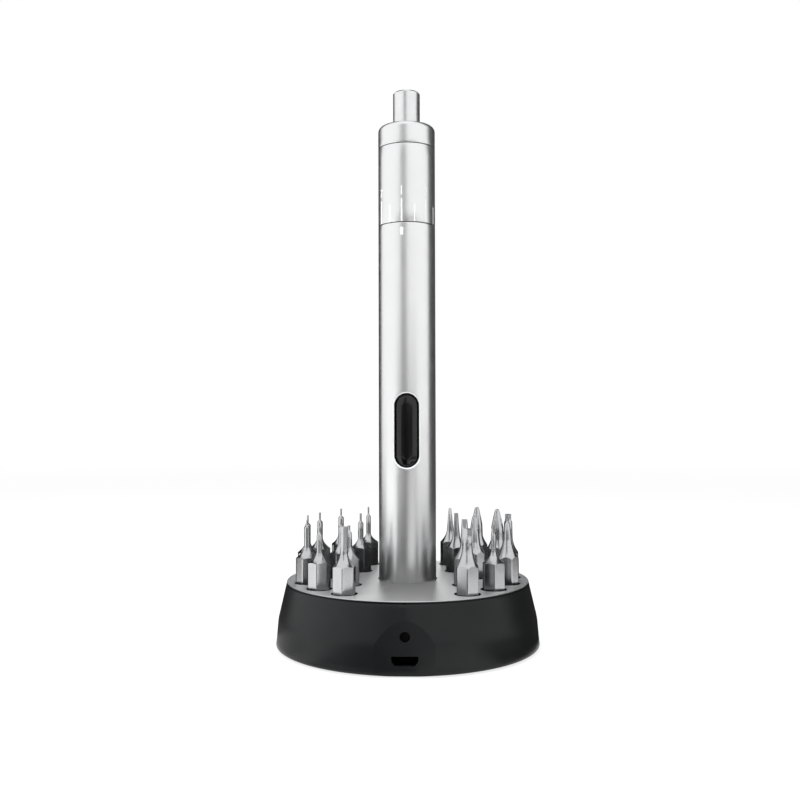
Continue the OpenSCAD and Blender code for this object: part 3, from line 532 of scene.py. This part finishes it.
def rockerKey(shape):
    bm = bmesh.new()
    width, middle, back = shape["width"], shape["middle"], shape["back"]
    half = (shape["height"] - width) / 2
    loop = []
    for side in (1, -1):
        turns = [radians(180 * k / shape["turnSteps"]) for k in range(shape["turnSteps"] + 1)]
        loop += [(side * cos(a), side * sin(a), side * half) for a in turns]
        steps = shape["sideSteps"]
        loop += [(-side, 0, side * half * (1 - 2 * k / steps)) for k in range(1, steps)]

    def edgeDrop(inset):
        share = max(0, 1 - inset / shape["shoulder"])
        return shape["shoulderDrop"] * share ** 2

    def pillRow(reach, depthAt):
        return [(c * reach, -depthAt(c * reach), middle + s * reach + heart) for c, s, heart in loop]

    rows = [pillRow(width / 2, lambda x: back), pillRow(width / 2, lambda x: back + shape["rim"])]
    for inset in shape["insets"]:
        rows.append(pillRow(width / 2 - inset,
                            lambda x: sqrt(shape["faceRadius"] ** 2 - x ** 2) - edgeDrop(inset)))
    solidRows(bm, rows)
    tip, radius = shape["plungerTip"], shape["plungerRadius"]
    sections = ((back + shape["plungerSink"], radius), (tip + shape["plungerRound"], radius),
                (tip, radius * shape["plungerEnd"]))
    for side in (-1, 1):
        z = middle + side * shape["plungerReach"]
        solidRows(bm, [[(r * cos(a), -y, z + r * sin(a)) for a in fullTurn(shape["plungerSides"])]
                       for y, r in sections])
    boss = []
    for x in (-shape["bossWidth"] / 2, shape["bossWidth"] / 2):
        bore, rim = [], []
        for c, s in ((cos(a), sin(a)) for a in fullTurn(shape["bossSides"])):
            reach = min(shape["bossDepth"] / 2 / max(abs(c), 1e-6),
                        shape["bossHeight"] / 2 / max(abs(s), 1e-6))
            for row, r in ((bore, shape["pinBore"]), (rim, reach)):
                row.append((x, -(shape["pivot"] + r * c), middle + r * s))
        boss.append((rim, bore))
    (leftRim, leftBore), (rightRim, rightBore) = boss
    skinRows(bm, [leftBore, leftRim, rightRim, rightBore, leftBore])
    addPiece("rockerKey", bm, "buttonPlastic", "button", ["rocker_button"], 38)


rockerKey(rockerShape)
print("tube and rocker made")

noseShape = {
    "radius": 9.3, "bottom": 161.3, "top": 168.5, "shoulder": 1.7, "bore": 7.8, "web": 165.1,
    "hole": 4.55, "holeRound": 0.2, "edge": 0.15, "band": 1.5, "columns": 128,
}


def noseCap(shape):
    bm = bmesh.new()
    r, edge, shoulder, lip = shape["radius"], shape["edge"], shape["shoulder"], shape["holeRound"]
    profile = softEnd(r, shape["bottom"], edge, edge, 1) + [(r, shape["bottom"] + shape["band"])]
    profile += arc((r - shoulder, shape["top"] - shoulder), shoulder, 0, 90, 16)
    profile += arc((shape["hole"] + lip, shape["top"] - lip), lip, 90, 180, 4)
    profile += [(shape["hole"], shape["web"]), (shape["bore"], shape["web"])]
    profile += [(shape["bore"], shape["bottom"])]
    lathe(bm, profile, shape["columns"])
    addPiece("noseCap", bm, "satinAluminium", "driver", ["nose_cap"], 40)


noseCap(noseShape)

collarShape = {
    "radius": 9.3, "bottom": 135.8, "top": 161.1, "bore": 7.8, "edge": 0.15, "bands": 6, "columns": 128,
}


def torqueCollar(shape):
    bm = bmesh.new()
    r, edge, bands, low, high = (shape[key] for key in ("radius", "edge", "bands", "bottom", "top"))
    profile = softEnd(r, low, edge, edge, 1)
    profile += [(r, low + (high - low) * k / bands) for k in range(1, bands)]
    profile += softEnd(r, high, edge, edge, -1)[::-1] + [(shape["bore"], high), (shape["bore"], low)]
    lathe(bm, profile, shape["columns"])
    addPiece("torqueCollar", bm, "satinAluminium", "collar", ["torque_collar"], 40)


torqueCollar(collarShape)

# Printed graduations: seven numbered steps, a shorter line between each two
markShape = {
    "radius": 9.3, "proud": 0.012, "sink": 0.01, "steps": 7, "first": -9.0, "start": 135.98,
    "longTop": 143.2, "shortTop": 141.5, "width": 0.42, "shortWidth": 0.34,
    "figureFoot": 144.4, "figureHeight": 2.9, "figureShare": 0.7, "figureNarrow": 0.8,
    "indexAngle": -9.0, "indexWidth": 1.0, "indexFoot": 131.6, "indexTop": 134.0,
}


def wrappedBar(bm, shape, angle, width, low, high):
    half = degrees(width / 2 / shape["radius"])
    turns = [radians(angle + half * share) for share in (-1, -0.5, 0, 0.5, 1)]
    under, face = shape["radius"] - shape["sink"], shape["radius"] + shape["proud"]
    corners = ((under, high), (under, low), (face, low), (face, high))
    rows = [[around(r, a, z) for a in turns] for r, z in corners]
    made = skinRows(bm, rows + [rows[0]], closed=False)
    for end in (0, -1):
        bm.faces.new([made[k][end] for k in range(4)])


def collarMarks(shape):
    bm = bmesh.new()
    pitch = 360 / shape["steps"]
    for k in range(shape["steps"]):
        long, short = shape["first"] + k * pitch, shape["first"] + (k + 0.5) * pitch
        wrappedBar(bm, shape, long, shape["width"], shape["start"], shape["longTop"])
        wrappedBar(bm, shape, short, shape["shortWidth"], shape["start"], shape["shortTop"])
    addPiece("collarGraduations", bm, "markPaint", "collar")
    bm = bmesh.new()
    wrappedBar(bm, shape, shape["indexAngle"], shape["indexWidth"], shape["indexFoot"], shape["indexTop"])
    addPiece("indexMark", bm, "markPaint", "driver")


def collarFigures(shape):
    bm = bmesh.new()
    for k in range(shape["steps"]):
        curve = bpy.data.curves.new("figure", "FONT")
        curve.body = str(k + 1)
        curve.align_x = "CENTER"
        curve.size = shape["figureHeight"] / shape["figureShare"]
        curve.resolution_u = 6
        holder = bpy.data.objects.new("figure", curve)
        scene.collection.objects.link(holder)
        bpy.context.view_layer.update()
        flat = holder.to_mesh()
        angle = radians(shape["first"] + k * 360 / shape["steps"])
        made = []
        for v in flat.vertices:
            a = angle + v.co.x * shape["figureNarrow"] / shape["radius"]
            place = around(shape["radius"] + shape["proud"], a, shape["figureFoot"] + v.co.y)
            made.append(bm.verts.new(place))
        for face in flat.polygons:
            bm.faces.new([made[i] for i in face.vertices])
        holder.to_mesh_clear()
        bpy.data.objects.remove(holder)
        bpy.data.curves.remove(curve)
    addPiece("collarFigures", bm, "markPaint", "collar")


collarMarks(markShape)
collarFigures(markShape)
print("nose, collar and marks made")

# Dock shell: turned form with a knee, a flat on its front and the two openings in the flat
shellShape = {
    "footRadius": 42.52, "topRadius": 39.2, "top": 20.1, "topRound": 0.12, "foot": 0.4, "footRound": 0.8,
    "draft": 4.8, "knee": 9.0, "kneeBlend": 1.3, "wall": 1.6, "columns": 176,
    "lowRows": (1.8, 3.0, 4.2, 5.4, 6.2), "kneeRows": 12, "highRows": 10,
    "flatWidth": 16.75, "flatDraft": 5.4, "flatColumns": 8, "sideColumns": 14, "frontSector": 30,
    "coverRadius": 38.65, "coverTop": 2.1, "cutDepth": (36, 45),
    "ledHeight": 11.15, "ledRadius": 1.5, "ledSides": 48,
    "inletFoot": 3.2, "inletWidth": 7.75, "inletHeight": 2.65, "inletRound": 0.25,
    "inletInset": 0.95, "inletWaist": (0.1, 0.45),  # mm, and share of the height
}


# The curve between the steep foot and the flatter upper part
def kneeCurve(shape, draft, inset=0):
    foot, knee, blend = shape["footRadius"], shape["knee"], shape["kneeBlend"]
    kneeRadius = foot - knee * draft
    rise = (shape["topRadius"] - kneeRadius) / (shape["top"] - knee)
    corners = ((foot - (knee - blend) * draft, knee - blend), (kneeRadius, knee),
               (kneeRadius + rise * blend, knee + blend))
    points = []
    for t in (k / shape["kneeRows"] for k in range(shape["kneeRows"] + 1)):
        radius, z = ((1 - t) ** 2 * a + 2 * t * (1 - t) * b + t * t * c for a, b, c in zip(*corners))
        points.append((radius - inset, z))
    return points


def dockShell(shape):
    bm = bmesh.new()
    foot, top, draft = shape["footRadius"], shape["top"], tan(radians(shape["draft"]))
    topRadius, topRound, wall = shape["topRadius"], shape["topRound"], shape["wall"]
    flatFoot = sqrt(foot ** 2 - (shape["flatWidth"] / 2) ** 2)
    flatSlope = tan(radians(shape["flatDraft"]))
    centre = (foot - shape["footRound"], shape["foot"] + shape["footRound"])
    profile = arc(centre, shape["footRound"], -90, -5, 8)
    profile += [(foot - z * draft, z) for z in shape["lowRows"]] + kneeCurve(shape, draft)
    radius, z, steps = *profile[-1], shape["highRows"]
    profile += [(radius + (topRadius - radius) * k / steps, z + (top - topRound - z) * k / steps)
                for k in range(1, steps + 1)]

    def flatReach(z):
        return flatFoot - z * flatSlope

    def halfAngle(radius, z):
        return acos(min(1.0, flatReach(z) / radius))

    # the row where the flat ends in a point
    below = max(i for i, (r, z) in enumerate(profile) if halfAngle(r, z) > 0)
    (r0, z0), (r1, z1) = profile[below], profile[below + 1]
    gap0, gap1 = r0 - flatReach(z0), r1 - flatReach(z1)
    t = gap0 / (gap0 - gap1)
    apex = below + 1
    profile.insert(apex, (r0 + (r1 - r0) * t, z0 + (z1 - z0) * t))
    profile += [(topRadius - topRound, top)]

    sector, flatColumns, sideColumns = (shape[key] for key in ("frontSector", "flatColumns", "sideColumns"))
    sector = radians(sector)
    rest = shape["columns"] - 2 * (flatColumns + sideColumns)
    rows = []
    for index, (r, z) in enumerate(profile):
        half, flat = halfAngle(r, z) if index < apex else 0.0, flatReach(z)
        angles = [half * k / flatColumns for k in range(-flatColumns, flatColumns)]
        angles += [half + (sector - half) * k / sideColumns for k in range(sideColumns)]
        angles += [sector + (2 * pi - 2 * sector) * k / rest for k in range(rest)]
        angles += [-sector + (sector - half) * k / sideColumns for k in range(sideColumns)]
        rows.append([around(flat / cos(a) if abs(a) <= half + 1e-9 else r, a, z) for a in angles])
    made = skinRows(bm, rows)
    crease = {row[column] for row in made[:apex + 1] for column in (0, 2 * flatColumns)}
    for edge in bm.edges:
        if edge.verts[0] in crease and edge.verts[1] in crease:
            edge.smooth = False
    inside = [(topRadius - wall, top)] + kneeCurve(shape, draft, wall)[::-1]
    inside += [(foot - shape["coverTop"] * draft - wall, shape["coverTop"]),
               (shape["coverRadius"], shape["coverTop"]), (shape["coverRadius"], shape["foot"])]
    plain = [atan2(v.co.x, -v.co.y) for v in made[-1]]
    core = skinRows(bm, [[around(r, a, z) for a in plain] for r, z in inside])
    bridge(bm, made[-1], core[0])
    bridge(bm, core[-1], made[0])
    bmesh.ops.remove_doubles(bm, verts=bm.verts, dist=1e-5)
    return addPiece("dockShell", bm, "dockPlastic", "dock", ["base_shell"], 40)


# Each prism is its two end outlines
def cutterFrom(prisms, name):
    bm = bmesh.new()
    for ends in prisms:
        solidRows(bm, ends)
    bmesh.ops.scale(bm, vec=(mm, mm, mm), verts=bm.verts)
    bmesh.ops.recalc_face_normals(bm, faces=bm.faces)
    return objectFrom(bm, name)


def roundedPolygon(corners, radius, steps=4):
    points = []
    for i, corner in enumerate(corners):
        here = Vector(corner)
        before = (Vector(corners[i - 1]) - here).normalized()
        after = (Vector(corners[(i + 1) % len(corners)]) - here).normalized()
        reach = radius / tan(acos(max(-1, min(1, before.dot(after)))) / 2)
        first, last = here + before * reach, here + after * reach
        for t in (k / steps for k in range(steps + 1)):
            points.append(tuple((1 - t) ** 2 * first + 2 * t * (1 - t) * here + t * t * last))
    return points


def cutAway(piece, cutters):
    for cutter in cutters:
        modifier = piece.modifiers.new("opening", "BOOLEAN")
        modifier.operation = "DIFFERENCE"
        modifier.solver = "EXACT"
        modifier.object = cutter
    bpy.context.view_layer.update()
    cutMesh = bpy.data.meshes.new_from_object(piece.evaluated_get(bpy.context.evaluated_depsgraph_get()))
    piece.modifiers.clear()
    piece.data = cutMesh
    for cutter in cutters:
        bpy.data.objects.remove(cutter)


def cutOpenings(shell, shape):
    w, foot, inset = shape["inletWidth"] / 2, shape["inletFoot"], shape["inletInset"]
    top, (waist, share) = foot + shape["inletHeight"], shape["inletWaist"]
    middle = foot + shape["inletHeight"] * share
    inlet = roundedPolygon([(-w, top), (-w + waist, middle), (-w + inset, foot), (w - inset, foot),
                            (w - waist, middle), (w, top)], shape["inletRound"])
    r = shape["ledRadius"]
    led = [(r * cos(a), shape["ledHeight"] + r * sin(a)) for a in fullTurn(shape["ledSides"])]
    cutters = []
    for name, outline in (("ledCutter", led), ("inletCutter", inlet)):
        cutters.append(cutterFrom([[[(x, -y, z) for x, z in outline] for y in shape["cutDepth"]]], name))
    cutAway(shell, cutters)


cutOpenings(dockShell(shellShape), shellShape)
print("dock shell made")

# Bits, in mm. Their tips' columns: kind, turn in degrees from the front, size, length, width of the
# neck at its foot and its end, height above the plate, and the flare's height and how hollow it is
bitShape = {
    "acrossFlats": 6.35, "cornerRound": 0.34, "seat": 5.0, "plateTop": 20.9, "shankRise": 7.9,
    "footChamfer": 0.6, "footEdge": 0.04, "endRound": 0.05, "flatSteps": 8, "cornerSteps": 3,
    "shankRows": 4, "flareRows": 16,
}
tipColumns = ("kind", "turn", "size", "length", "neck", "top", "flare")
bitTips = {
    "bit_hex_key_2": ("key", -5, 2, 6.8, (2.3, 2.3), 20, (4.6, 2.4)),
    "bit_pin_a": ("star", -8, 0.7, 2.6, (1.8, 1.7), 19, (3.4, 2)),
    "bit_pin_b": ("star", -15, 0.6, 2.2, (2, 2), 19.8, (3.6, 2)),
    "bit_pin_c": ("star", 12, 0.65, 3.2, (1.9, 1.9), 20.2, (3.6, 2)),
    "bit_pin_d": ("star", 24, 0.65, 3.3, (2, 2), 20, (3.6, 2)),
    "bit_pin_e": ("star", 9, 0.7, 3.2, (2, 2), 20.4, (3.6, 2)),
    "bit_pin_f": ("star", 17, 0.6, 3.5, (1.7, 1.7), 20.4, (3.2, 2)),
    "bit_pin_g": ("star", 4, 0.9, 2.4, (2, 1.8), 18.6, (4.2, 2.2)),
    "bit_pin_h": ("star", -20, 0.65, 3, (1.8, 1.8), 19.2, (3.6, 2)),
    "bit_pin_i": ("star", 21, 0.7, 3.4, (1.9, 1.9), 19.6, (3.4, 2)),
    "bit_hex_key_25": ("key", 0, 2.5, 3.5, (3, 2.9), 19.3, (7.6, 2.6)),
    "bit_tri_wing": ("tri", 3, 1.5, 2.2, (1.6, 1.4), 18.6, (3.8, 2.2)),
    "bit_star_small": ("star", 18, 1.1, 1.8, (2.6, 1.7), 20.6, (6.6, 1.8)),
    "bit_star_large": ("star", -9, 2.2, 2.6, (2.9, 2.7), 20.6, (5.8, 2.2)),
    "bit_cross_2": ("cross", 11, 4.2, 6.4, (4.4, 4.2), 21.2, (3.2, 1.4)),
    "bit_cross_1": ("cross", 26, 3.8, 6.2, (4, 3.8), 21, (3.4, 1.4)),
    "bit_slot_narrow": ("slot", 14, 0.9, 2.4, (2.3, 1.4), 20, (4.4, 1.8)),
    "bit_slot_wide": ("slot", -12, 1.8, 3, (2.7, 2.1), 20.5, (5.2, 2)),
    "bit_cross_0": ("cross", 7, 3, 5.2, (3.6, 3), 20.1, (4, 1.6)),
    "bit_slot_medium": ("slot", -17, 1.3, 3, (2.4, 1.6), 19.7, (4.4, 1.8)),
}

starForm = {"depth": 0.1, "cone": 0.9, "coneShare": 1 / 3, "ease": 0.8}
slotForm = {"thickness": 0.16, "taper": 0.75, "blend": 0.06}
crossForm = {"end": 0.6, "bulge": 0.82, "roundFrom": 0.955, "core": 0.28, "roundDrop": 0.28, "blend": 0.16}
wingForm = {"wing": 0.11, "core": 0.24, "neckEnd": 0.6}
keyForm = {"start": 0.35, "speed": 6, "ease": 0.5}  # how the hexagon grows out of the flare


def hexOutline(shape):
    r, steps = shape["cornerRound"], shape["cornerSteps"]
    centre = shape["acrossFlats"] / sqrt(3) - r / cos(radians(30))
    corners = []
    for middle in (60 * k for k in range(6)):
        heart = Vector((cos(radians(middle)), sin(radians(middle)))) * centre
        corners.append([Vector(p) for p in arc(heart, r, middle - 30, middle + 30, steps)])
    outline = []
    for corner, following in zip(corners, corners[1:] + corners[:1]):
        shares = [s / shape["flatSteps"] for s in range(1, shape["flatSteps"])]
        outline += corner + [corner[-1].lerp(following[0], share) for share in shares]
    return [(atan2(p.y, p.x), p.length) for p in outline]


def softMin(a, b, blend):
    h = max(blend - abs(a - b), 0) / blend
    return min(a, b) - h * h * blend / 4


# Angle from the nearest of several equally spaced directions
def offNearest(angle, count):
    part = 2 * pi / count
    return (angle + part / 2) % part - part / 2


# Radius of each kind of tip in one direction; share runs from 0 at its foot to 1 at its end
def keyTip(tip, neck, angle, share):
    return tip["size"] / 2 / cos(abs(offNearest(angle, 6)) - pi / 6)


def starTip(tip, neck, angle, share):
    depth, length = starForm["depth"], tip["length"]
    star = tip["size"] / 2 * (1 - depth + depth * cos(6 * angle))
    cone = min(starForm["cone"], length * starForm["coneShare"]) / length
    if share >= cone:
        return star
    fall = share / cone
    return neck + (star - neck) * (fall * fall * (3 - 2 * fall)) ** starForm["ease"]


def slotTip(tip, neck, angle, share):
    body = neck + (tip["size"] / 2 - neck) * share
    blade = neck + (tip["size"] * slotForm["thickness"] - neck) * share ** slotForm["taper"]
    return softMin(body, blade / max(abs(cos(angle)), 1e-3), slotForm["blend"])


def crossTip(tip, neck, angle, share):
    end, core, start = crossForm["end"], crossForm["core"], crossForm["roundFrom"]
    bullet = end + (neck - end) * (1 - share) ** crossForm["bulge"]
    if share > start:
        bullet -= crossForm["roundDrop"] * ((share - start) / (1 - start)) ** 2
    off = offNearest(angle - pi / 4, 4)
    groove = (core + (neck - core) * (1 - share)) / max(cos(off) - abs(sin(off)), 1e-3)
    return softMin(bullet, groove, crossForm["blend"])


def wingTip(tip, neck, angle, share):
    size, neckEnd = tip["size"], wingForm["neckEnd"]
    wing = min(size / 2, size * wingForm["wing"] / max(abs(sin(offNearest(angle, 3))), 1e-3))
    fin = max(wing, size * wingForm["core"])
    if share >= 0.5:
        return fin
    return max(fin, neck * (neckEnd + (1 - neckEnd) * (1 - 2 * share)))


# Each kind's form, its rows and how far its end is drawn in
tipKinds = {
    "key": (keyTip, 4, 0.12), "star": (starTip, 10, 0.05), "slot": (slotTip, 10, 0.05),
    "cross": (crossTip, 26, 0.05), "tri": (wingTip, 8, 0.05),
}


def makeBit(name, tip, shape):
    bm = bmesh.new()
    low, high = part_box(name)
    centreX, centreY = (low.x + high.x) / 2 / mm, (low.y + high.y) / 2 / mm
    turn = radians(tip["turn"] - 90)
    form, tipRows, inset = tipKinds[tip["kind"]]
    isKey = tip["kind"] == "key"
    outline = hexOutline(shape)
    widest = max(r for a, r in outline)
    chamfer, edge = shape["footChamfer"], shape["footEdge"]
    footZ = shape["plateTop"] - shape["seat"]
    shankTop = shape["plateTop"] + shape["shankRise"]
    tipTop = shape["plateTop"] + tip["top"]
    neckStart = tipTop - tip["length"]
    flareHeight, hollow = tip["flare"]
    flareEnd = shankTop + flareHeight
    neckFoot, neckEnd = (width / 2 for width in tip["neck"])

    shankFoot = footZ + chamfer
    rows = [[(a, r - chamfer, footZ) for a, r in outline],
            [(a, r - edge, shankFoot - edge) for a, r in outline]]
    # the flare starts lower at the flats than at the corners
    starts = [1 - ((r - neckFoot) / (widest - neckFoot)) ** (1 / hollow) for a, r in outline]
    for share in (k / shape["shankRows"] for k in range(shape["shankRows"] + 1)):
        rows.append([(a, r, shankFoot + (shankTop + flareHeight * s - shankFoot) * share)
                     for (a, r), s in zip(outline, starts)])
    sharpRow = len(rows) - 1
    for k in range(1, shape["flareRows"] + 1):
        row = []
        for (a, r), s in zip(outline, starts):
            share = s + (1 - s) * k / shape["flareRows"]
            radius = neckFoot + (widest - neckFoot) * (1 - share) ** hollow
            if isKey and share > keyForm["start"]:
                grown = min(1, (share - keyForm["start"]) * keyForm["speed"]) ** keyForm["ease"]
                radius = max(radius, keyTip(tip, neckEnd, a, 0) * grown)
            row.append((a, radius, shankTop + flareHeight * share))
        rows.append(row)
    if neckStart > flareEnd + 0.05 and not isKey:
        for share in (0.5, 1):
            radius, z = neckFoot + (neckEnd - neckFoot) * share, flareEnd + (neckStart - flareEnd) * share
            rows.append([(a, radius, z) for a, r in outline])
    tipFoot = max(neckStart, flareEnd)
    for k in range(1, tipRows + 1):
        z = tipFoot + (tipTop - tipFoot) * k / tipRows - (shape["endRound"] if k == tipRows else 0)
        rows.append([(a, form(tip, neckEnd, a, k / tipRows), z) for a, r in outline])
    rows.append([(a, max(form(tip, neckEnd, a, 1) - inset, 0.02), tipTop) for a, r in outline])
    made = skinRows(bm, [[(centreX + r * cos(a + turn), centreY + r * sin(a + turn), z)
                          for a, r, z in row] for row in rows])
    capRow(bm, made[0])
    capRow(bm, made[-1])
    sharp = made[sharpRow]
    for first, second in zip(sharp, sharp[1:] + sharp[:1]):
        bm.edges.get((first, second)).smooth = False
    addPiece(camelCase(name), bm, "bitSteel", name + "_body", [name], 40)


for bitName, bitTip in bitTips.items():
    makeBit(bitName, dict(zip(tipColumns, bitTip)), bitShape)
print("bits made:", len(bitTips))

# The plate's holes are a little wider than the tray's under them, so a dark rim shows round each bit
plateShape = {"holeRadius": 4.04, "holeSides": 64, "cut": (19.5, 21.5)}


def topPlate(shape):
    r, prisms = shape["holeRadius"], []
    for bit in bitTips:
        low, high = (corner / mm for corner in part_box(bit))
        x, y = (low.x + high.x) / 2, (low.y + high.y) / 2
        prisms.append([[(x + r * cos(a), y + r * sin(a), z) for a in fullTurn(shape["holeSides"])]
                       for z in shape["cut"]])
    node = frame["nodes"]["top_plate"]
    plate = bpy.data.objects.new("plateBlank", node.data.copy())
    scene.collection.objects.link(plate)
    plate.matrix_world = node.matrix_world.copy()
    cutAway(plate, [cutterFrom(prisms, "holeCutter")])
    bm = bmesh.new()
    bm.from_mesh(plate.data)
    bpy.data.objects.remove(plate)
    bmesh.ops.remove_doubles(bm, verts=bm.verts, dist=1e-6)
    bmesh.ops.dissolve_limit(bm, angle_limit=radians(1), verts=bm.verts, edges=bm.edges)
    addPiece("topPlate", bm, "plateAluminium", "dock", ["top_plate"], 40, scaled=False)


topPlate(plateShape)
print("top plate made")

# Small rounds on the edges of carried-over nodes, in mm
edgeRounds = {"chuck_spindle": 0.08, "tail_cap": 0.12, "bit_tray": 0.1, "dock_cup": 0.1}


def roundEdges(table):
    for name, width in table.items():
        modifier = frame["nodes"][name].modifiers.new("edgeRound", "BEVEL")
        modifier.width = width * mm
        modifier.segments = 2
        modifier.limit_method = "ANGLE"
        modifier.angle_limit = radians(50)
        modifier.harden_normals = True


roundEdges(edgeRounds)

# Studio: a white sweep, with lamps for the plain surfaces. The lamps are left out of the metal's
# reflections, which come from the sweep and from the cards below
studio = {
    "worldFill": 0.6,
    "secondGrey": 0.6,  # what a reflection of a reflection sees
    "floorWhite": 0.9,
    "floorGlow": (0.78, 1.0),  # share of plain white in the floor, near the object and far off
    "floorReach": (0.3, 1.2),  # metres, as is the floor's size
    "floorSize": 8,
    "lamps": {
        "leftBox": {"place": (-620, -200, 260), "aim": (0, 0, 60), "size": (500, 700), "power": 4.6},
        "rightBox": {"place": (640, -180, 240), "aim": (0, 0, 60), "size": (420, 700), "power": 0.1},
        "topBox": {"place": (0, -60, 800), "aim": (0, 0, 0), "size": (600, 600), "power": 6.5},
    },
}


# 1 for the rays that see a plain white room: the camera's, and those that a surface mirrors or lets in
def seenRays(nodes):
    path = nodes.add("LightPath")
    mirrored = nodes.maths("MAXIMUM", path.outputs["Is Camera Ray"], path.outputs["Is Glossy Ray"])
    return nodes.maths("MAXIMUM", mirrored, path.outputs["Is Transmission Ray"])


# 1 for a ray that has left two mirrors or more
def secondRays(nodes):
    return nodes.maths("GREATER_THAN", nodes.add("LightPath").outputs["Glossy Depth"], 1.5)


# The plain shader gives way to a glow for the seen rays, and to a greyer one for those of two mirrors
def roomShader(nodes, kind, plain, share, secondGrey, output):
    room = nodes.mixShader(share, plain, nodes.glow(kind, 1))
    room = nodes.mixShader(secondRays(nodes), room, nodes.glow(kind, secondGrey))
    nodes.link(room, nodes.add(output).inputs["Surface"])


def whiteRoom(look):
    world = bpy.data.worlds.new("studioWorld")
    scene.world = world
    world.use_nodes = True
    world.cycles.sampling_method = "NONE"  # so that the cards hide it from every reflection
    nodes = Nodes(world.node_tree)
    plain = nodes.glow("Background", look["worldFill"])
    roomShader(nodes, "Background", plain, seenRays(nodes), look["secondGrey"], "OutputWorld")


def softLamps(table):
    for name, lamp in table.items():
        data = bpy.data.lights.new(name, "AREA")
        data.shape = "RECTANGLE"
        data.size, data.size_y = (s * mm for s in lamp["size"])
        data.energy = lamp["power"]
        holder = bpy.data.objects.new(name, data)
        holder.location = [mm * v for v in lamp["place"]]
        aim = Vector([mm * v for v in lamp["aim"]]) - holder.location
        holder.rotation_euler = aim.to_track_quat("-Z", "Y").to_euler()
        holder.visible_camera = False
        holder.visible_glossy = False
        scene.collection.objects.link(holder)


def stageMaterial(name):
    material = bpy.data.materials.new(name)
    material.use_nodes = True
    material.cycles.emission_sampling = "NONE"
    return material, Nodes(material.node_tree)


def sweepFloor(look):
    material, nodes = stageMaterial("floorPaper")
    paper = nodes.add("BsdfDiffuse", {"Color": (look["floorWhite"],) * 3})
    distance = nodes.add("VectorMath")
    distance.operation = "LENGTH"
    nodes.link(nodes.add("TexCoord").outputs["Object"], distance.inputs[0])
    white = nodes.between(distance.outputs["Value"], *look["floorGlow"], *look["floorReach"])
    share = nodes.maths("MULTIPLY", white, seenRays(nodes))
    roomShader(nodes, "Emission", paper.outputs[0], share, look["secondGrey"], "OutputMaterial")
    bm = bmesh.new()
    half = look["floorSize"] / 2
    bm.faces.new([bm.verts.new((x * half, y * half, 0)) for x, y in ((-1, -1), (1, -1), (1, 1), (-1, 1))])
    objectFrom(bm, "studioFloor", [material])


# Grey cards that only reflections see: turn in degrees from the front, outline through
# (distance from the axis, height) in mm, and grey. Those of topOnly are clear from below. The foot card and
# the two plate cards sit on the object itself: dark sheets where there is only shade, which paint a contact
# shadow and shade into the reflections
plateRing = [(9.6, 21.02), (38.6, 21.02)]
cards = {
    "frontStrip": ((-24, 0), [(900, 100), (900, 900)], 0.38),
    "buttonCard": ((-40, 40), [(900, 1), (900, 99)], 0.03),
    "farMat": ((-10, 8), [(420, 1), (899, 1)], 0.25),
    # painted shadow: a dark sheet round the driver's foot, seen only from outside, stands in for the contact
    # shadow in the plate's reflection
    "footCard": ((-75, 75), [(9.45, 21), (9.45, 34)], 0.02),
    "leftRearCard": ((-170, -122), [(46, 1), (500, 1), (500, 1300)], 0.01),
    "rightRearCard": ((97, 176), [(46, 1), (500, 1), (500, 1300)], 0.05),
    "nearMat": ((-44, 4), [(44, 1), (150, 1)], 0.03),
    "frontMat": ((-24, 0), [(150, 1), (420, 1)], 0.05),
    "rightFrontMat": ((0, 33), [(200, 1), (420, 1)], 0.4),
    "leftFrontMat": ((-42, -24), [(150, 1), (420, 1)], 0.1),
    "rightMat": ((33, 97), [(190, 1), (500, 1)], 0.25),
    "leftMat": ((-122, -92), [(100, 1), (500, 1)], 0.08),
    "rightNearMat": ((45, 97), [(44, 1), (110, 1)], 0.03),
    "leftNearMat": ((-97, -60), [(44, 1), (80, 1)], 0.55),
    "leftEdgeMat": ((-150, -97), [(44, 1), (110, 1)], 0.12),
    # painted shade: dark sheets just over the plate, seen only from above, darken what the bits and the
    # driver reflect of the plate
    "plateFrontCard": ((45, -50), plateRing, 0.17),
    "plateCard": ((310, 45), plateRing, 0.02),
}
topOnly = ("footCard", "plateFrontCard", "plateCard")


def greyCards(table):
    for name, ((first, last), outline, grey) in table.items():
        material, nodes = stageMaterial(name)
        face = nodes.glow("Emission", 1, grey)
        if name in topOnly:
            back = nodes.add("NewGeometry").outputs["Backfacing"]
            face = nodes.mixShader(back, face, nodes.add("BsdfTransparent").outputs[0])
        nodes.link(face, nodes.add("OutputMaterial").inputs["Surface"])
        bm = bmesh.new()
        steps = max(16, int(abs(last - first) / 5))
        angles = [radians(first + (last - first) * k / steps) for k in range(steps + 1)]
        skinRows(bm, [[around(r * mm, a, z * mm) for a in angles] for r, z in outline], closed=False)
        piece = objectFrom(bm, name, [material])
        piece.visible_camera = False
        piece.visible_diffuse = False
        piece.visible_shadow = False
        piece.visible_transmission = False


whiteRoom(studio)
softLamps(studio["lamps"])
sweepFloor(studio)
greyCards(cards)
scene.view_settings.view_transform = "Standard"
print("studio lit")
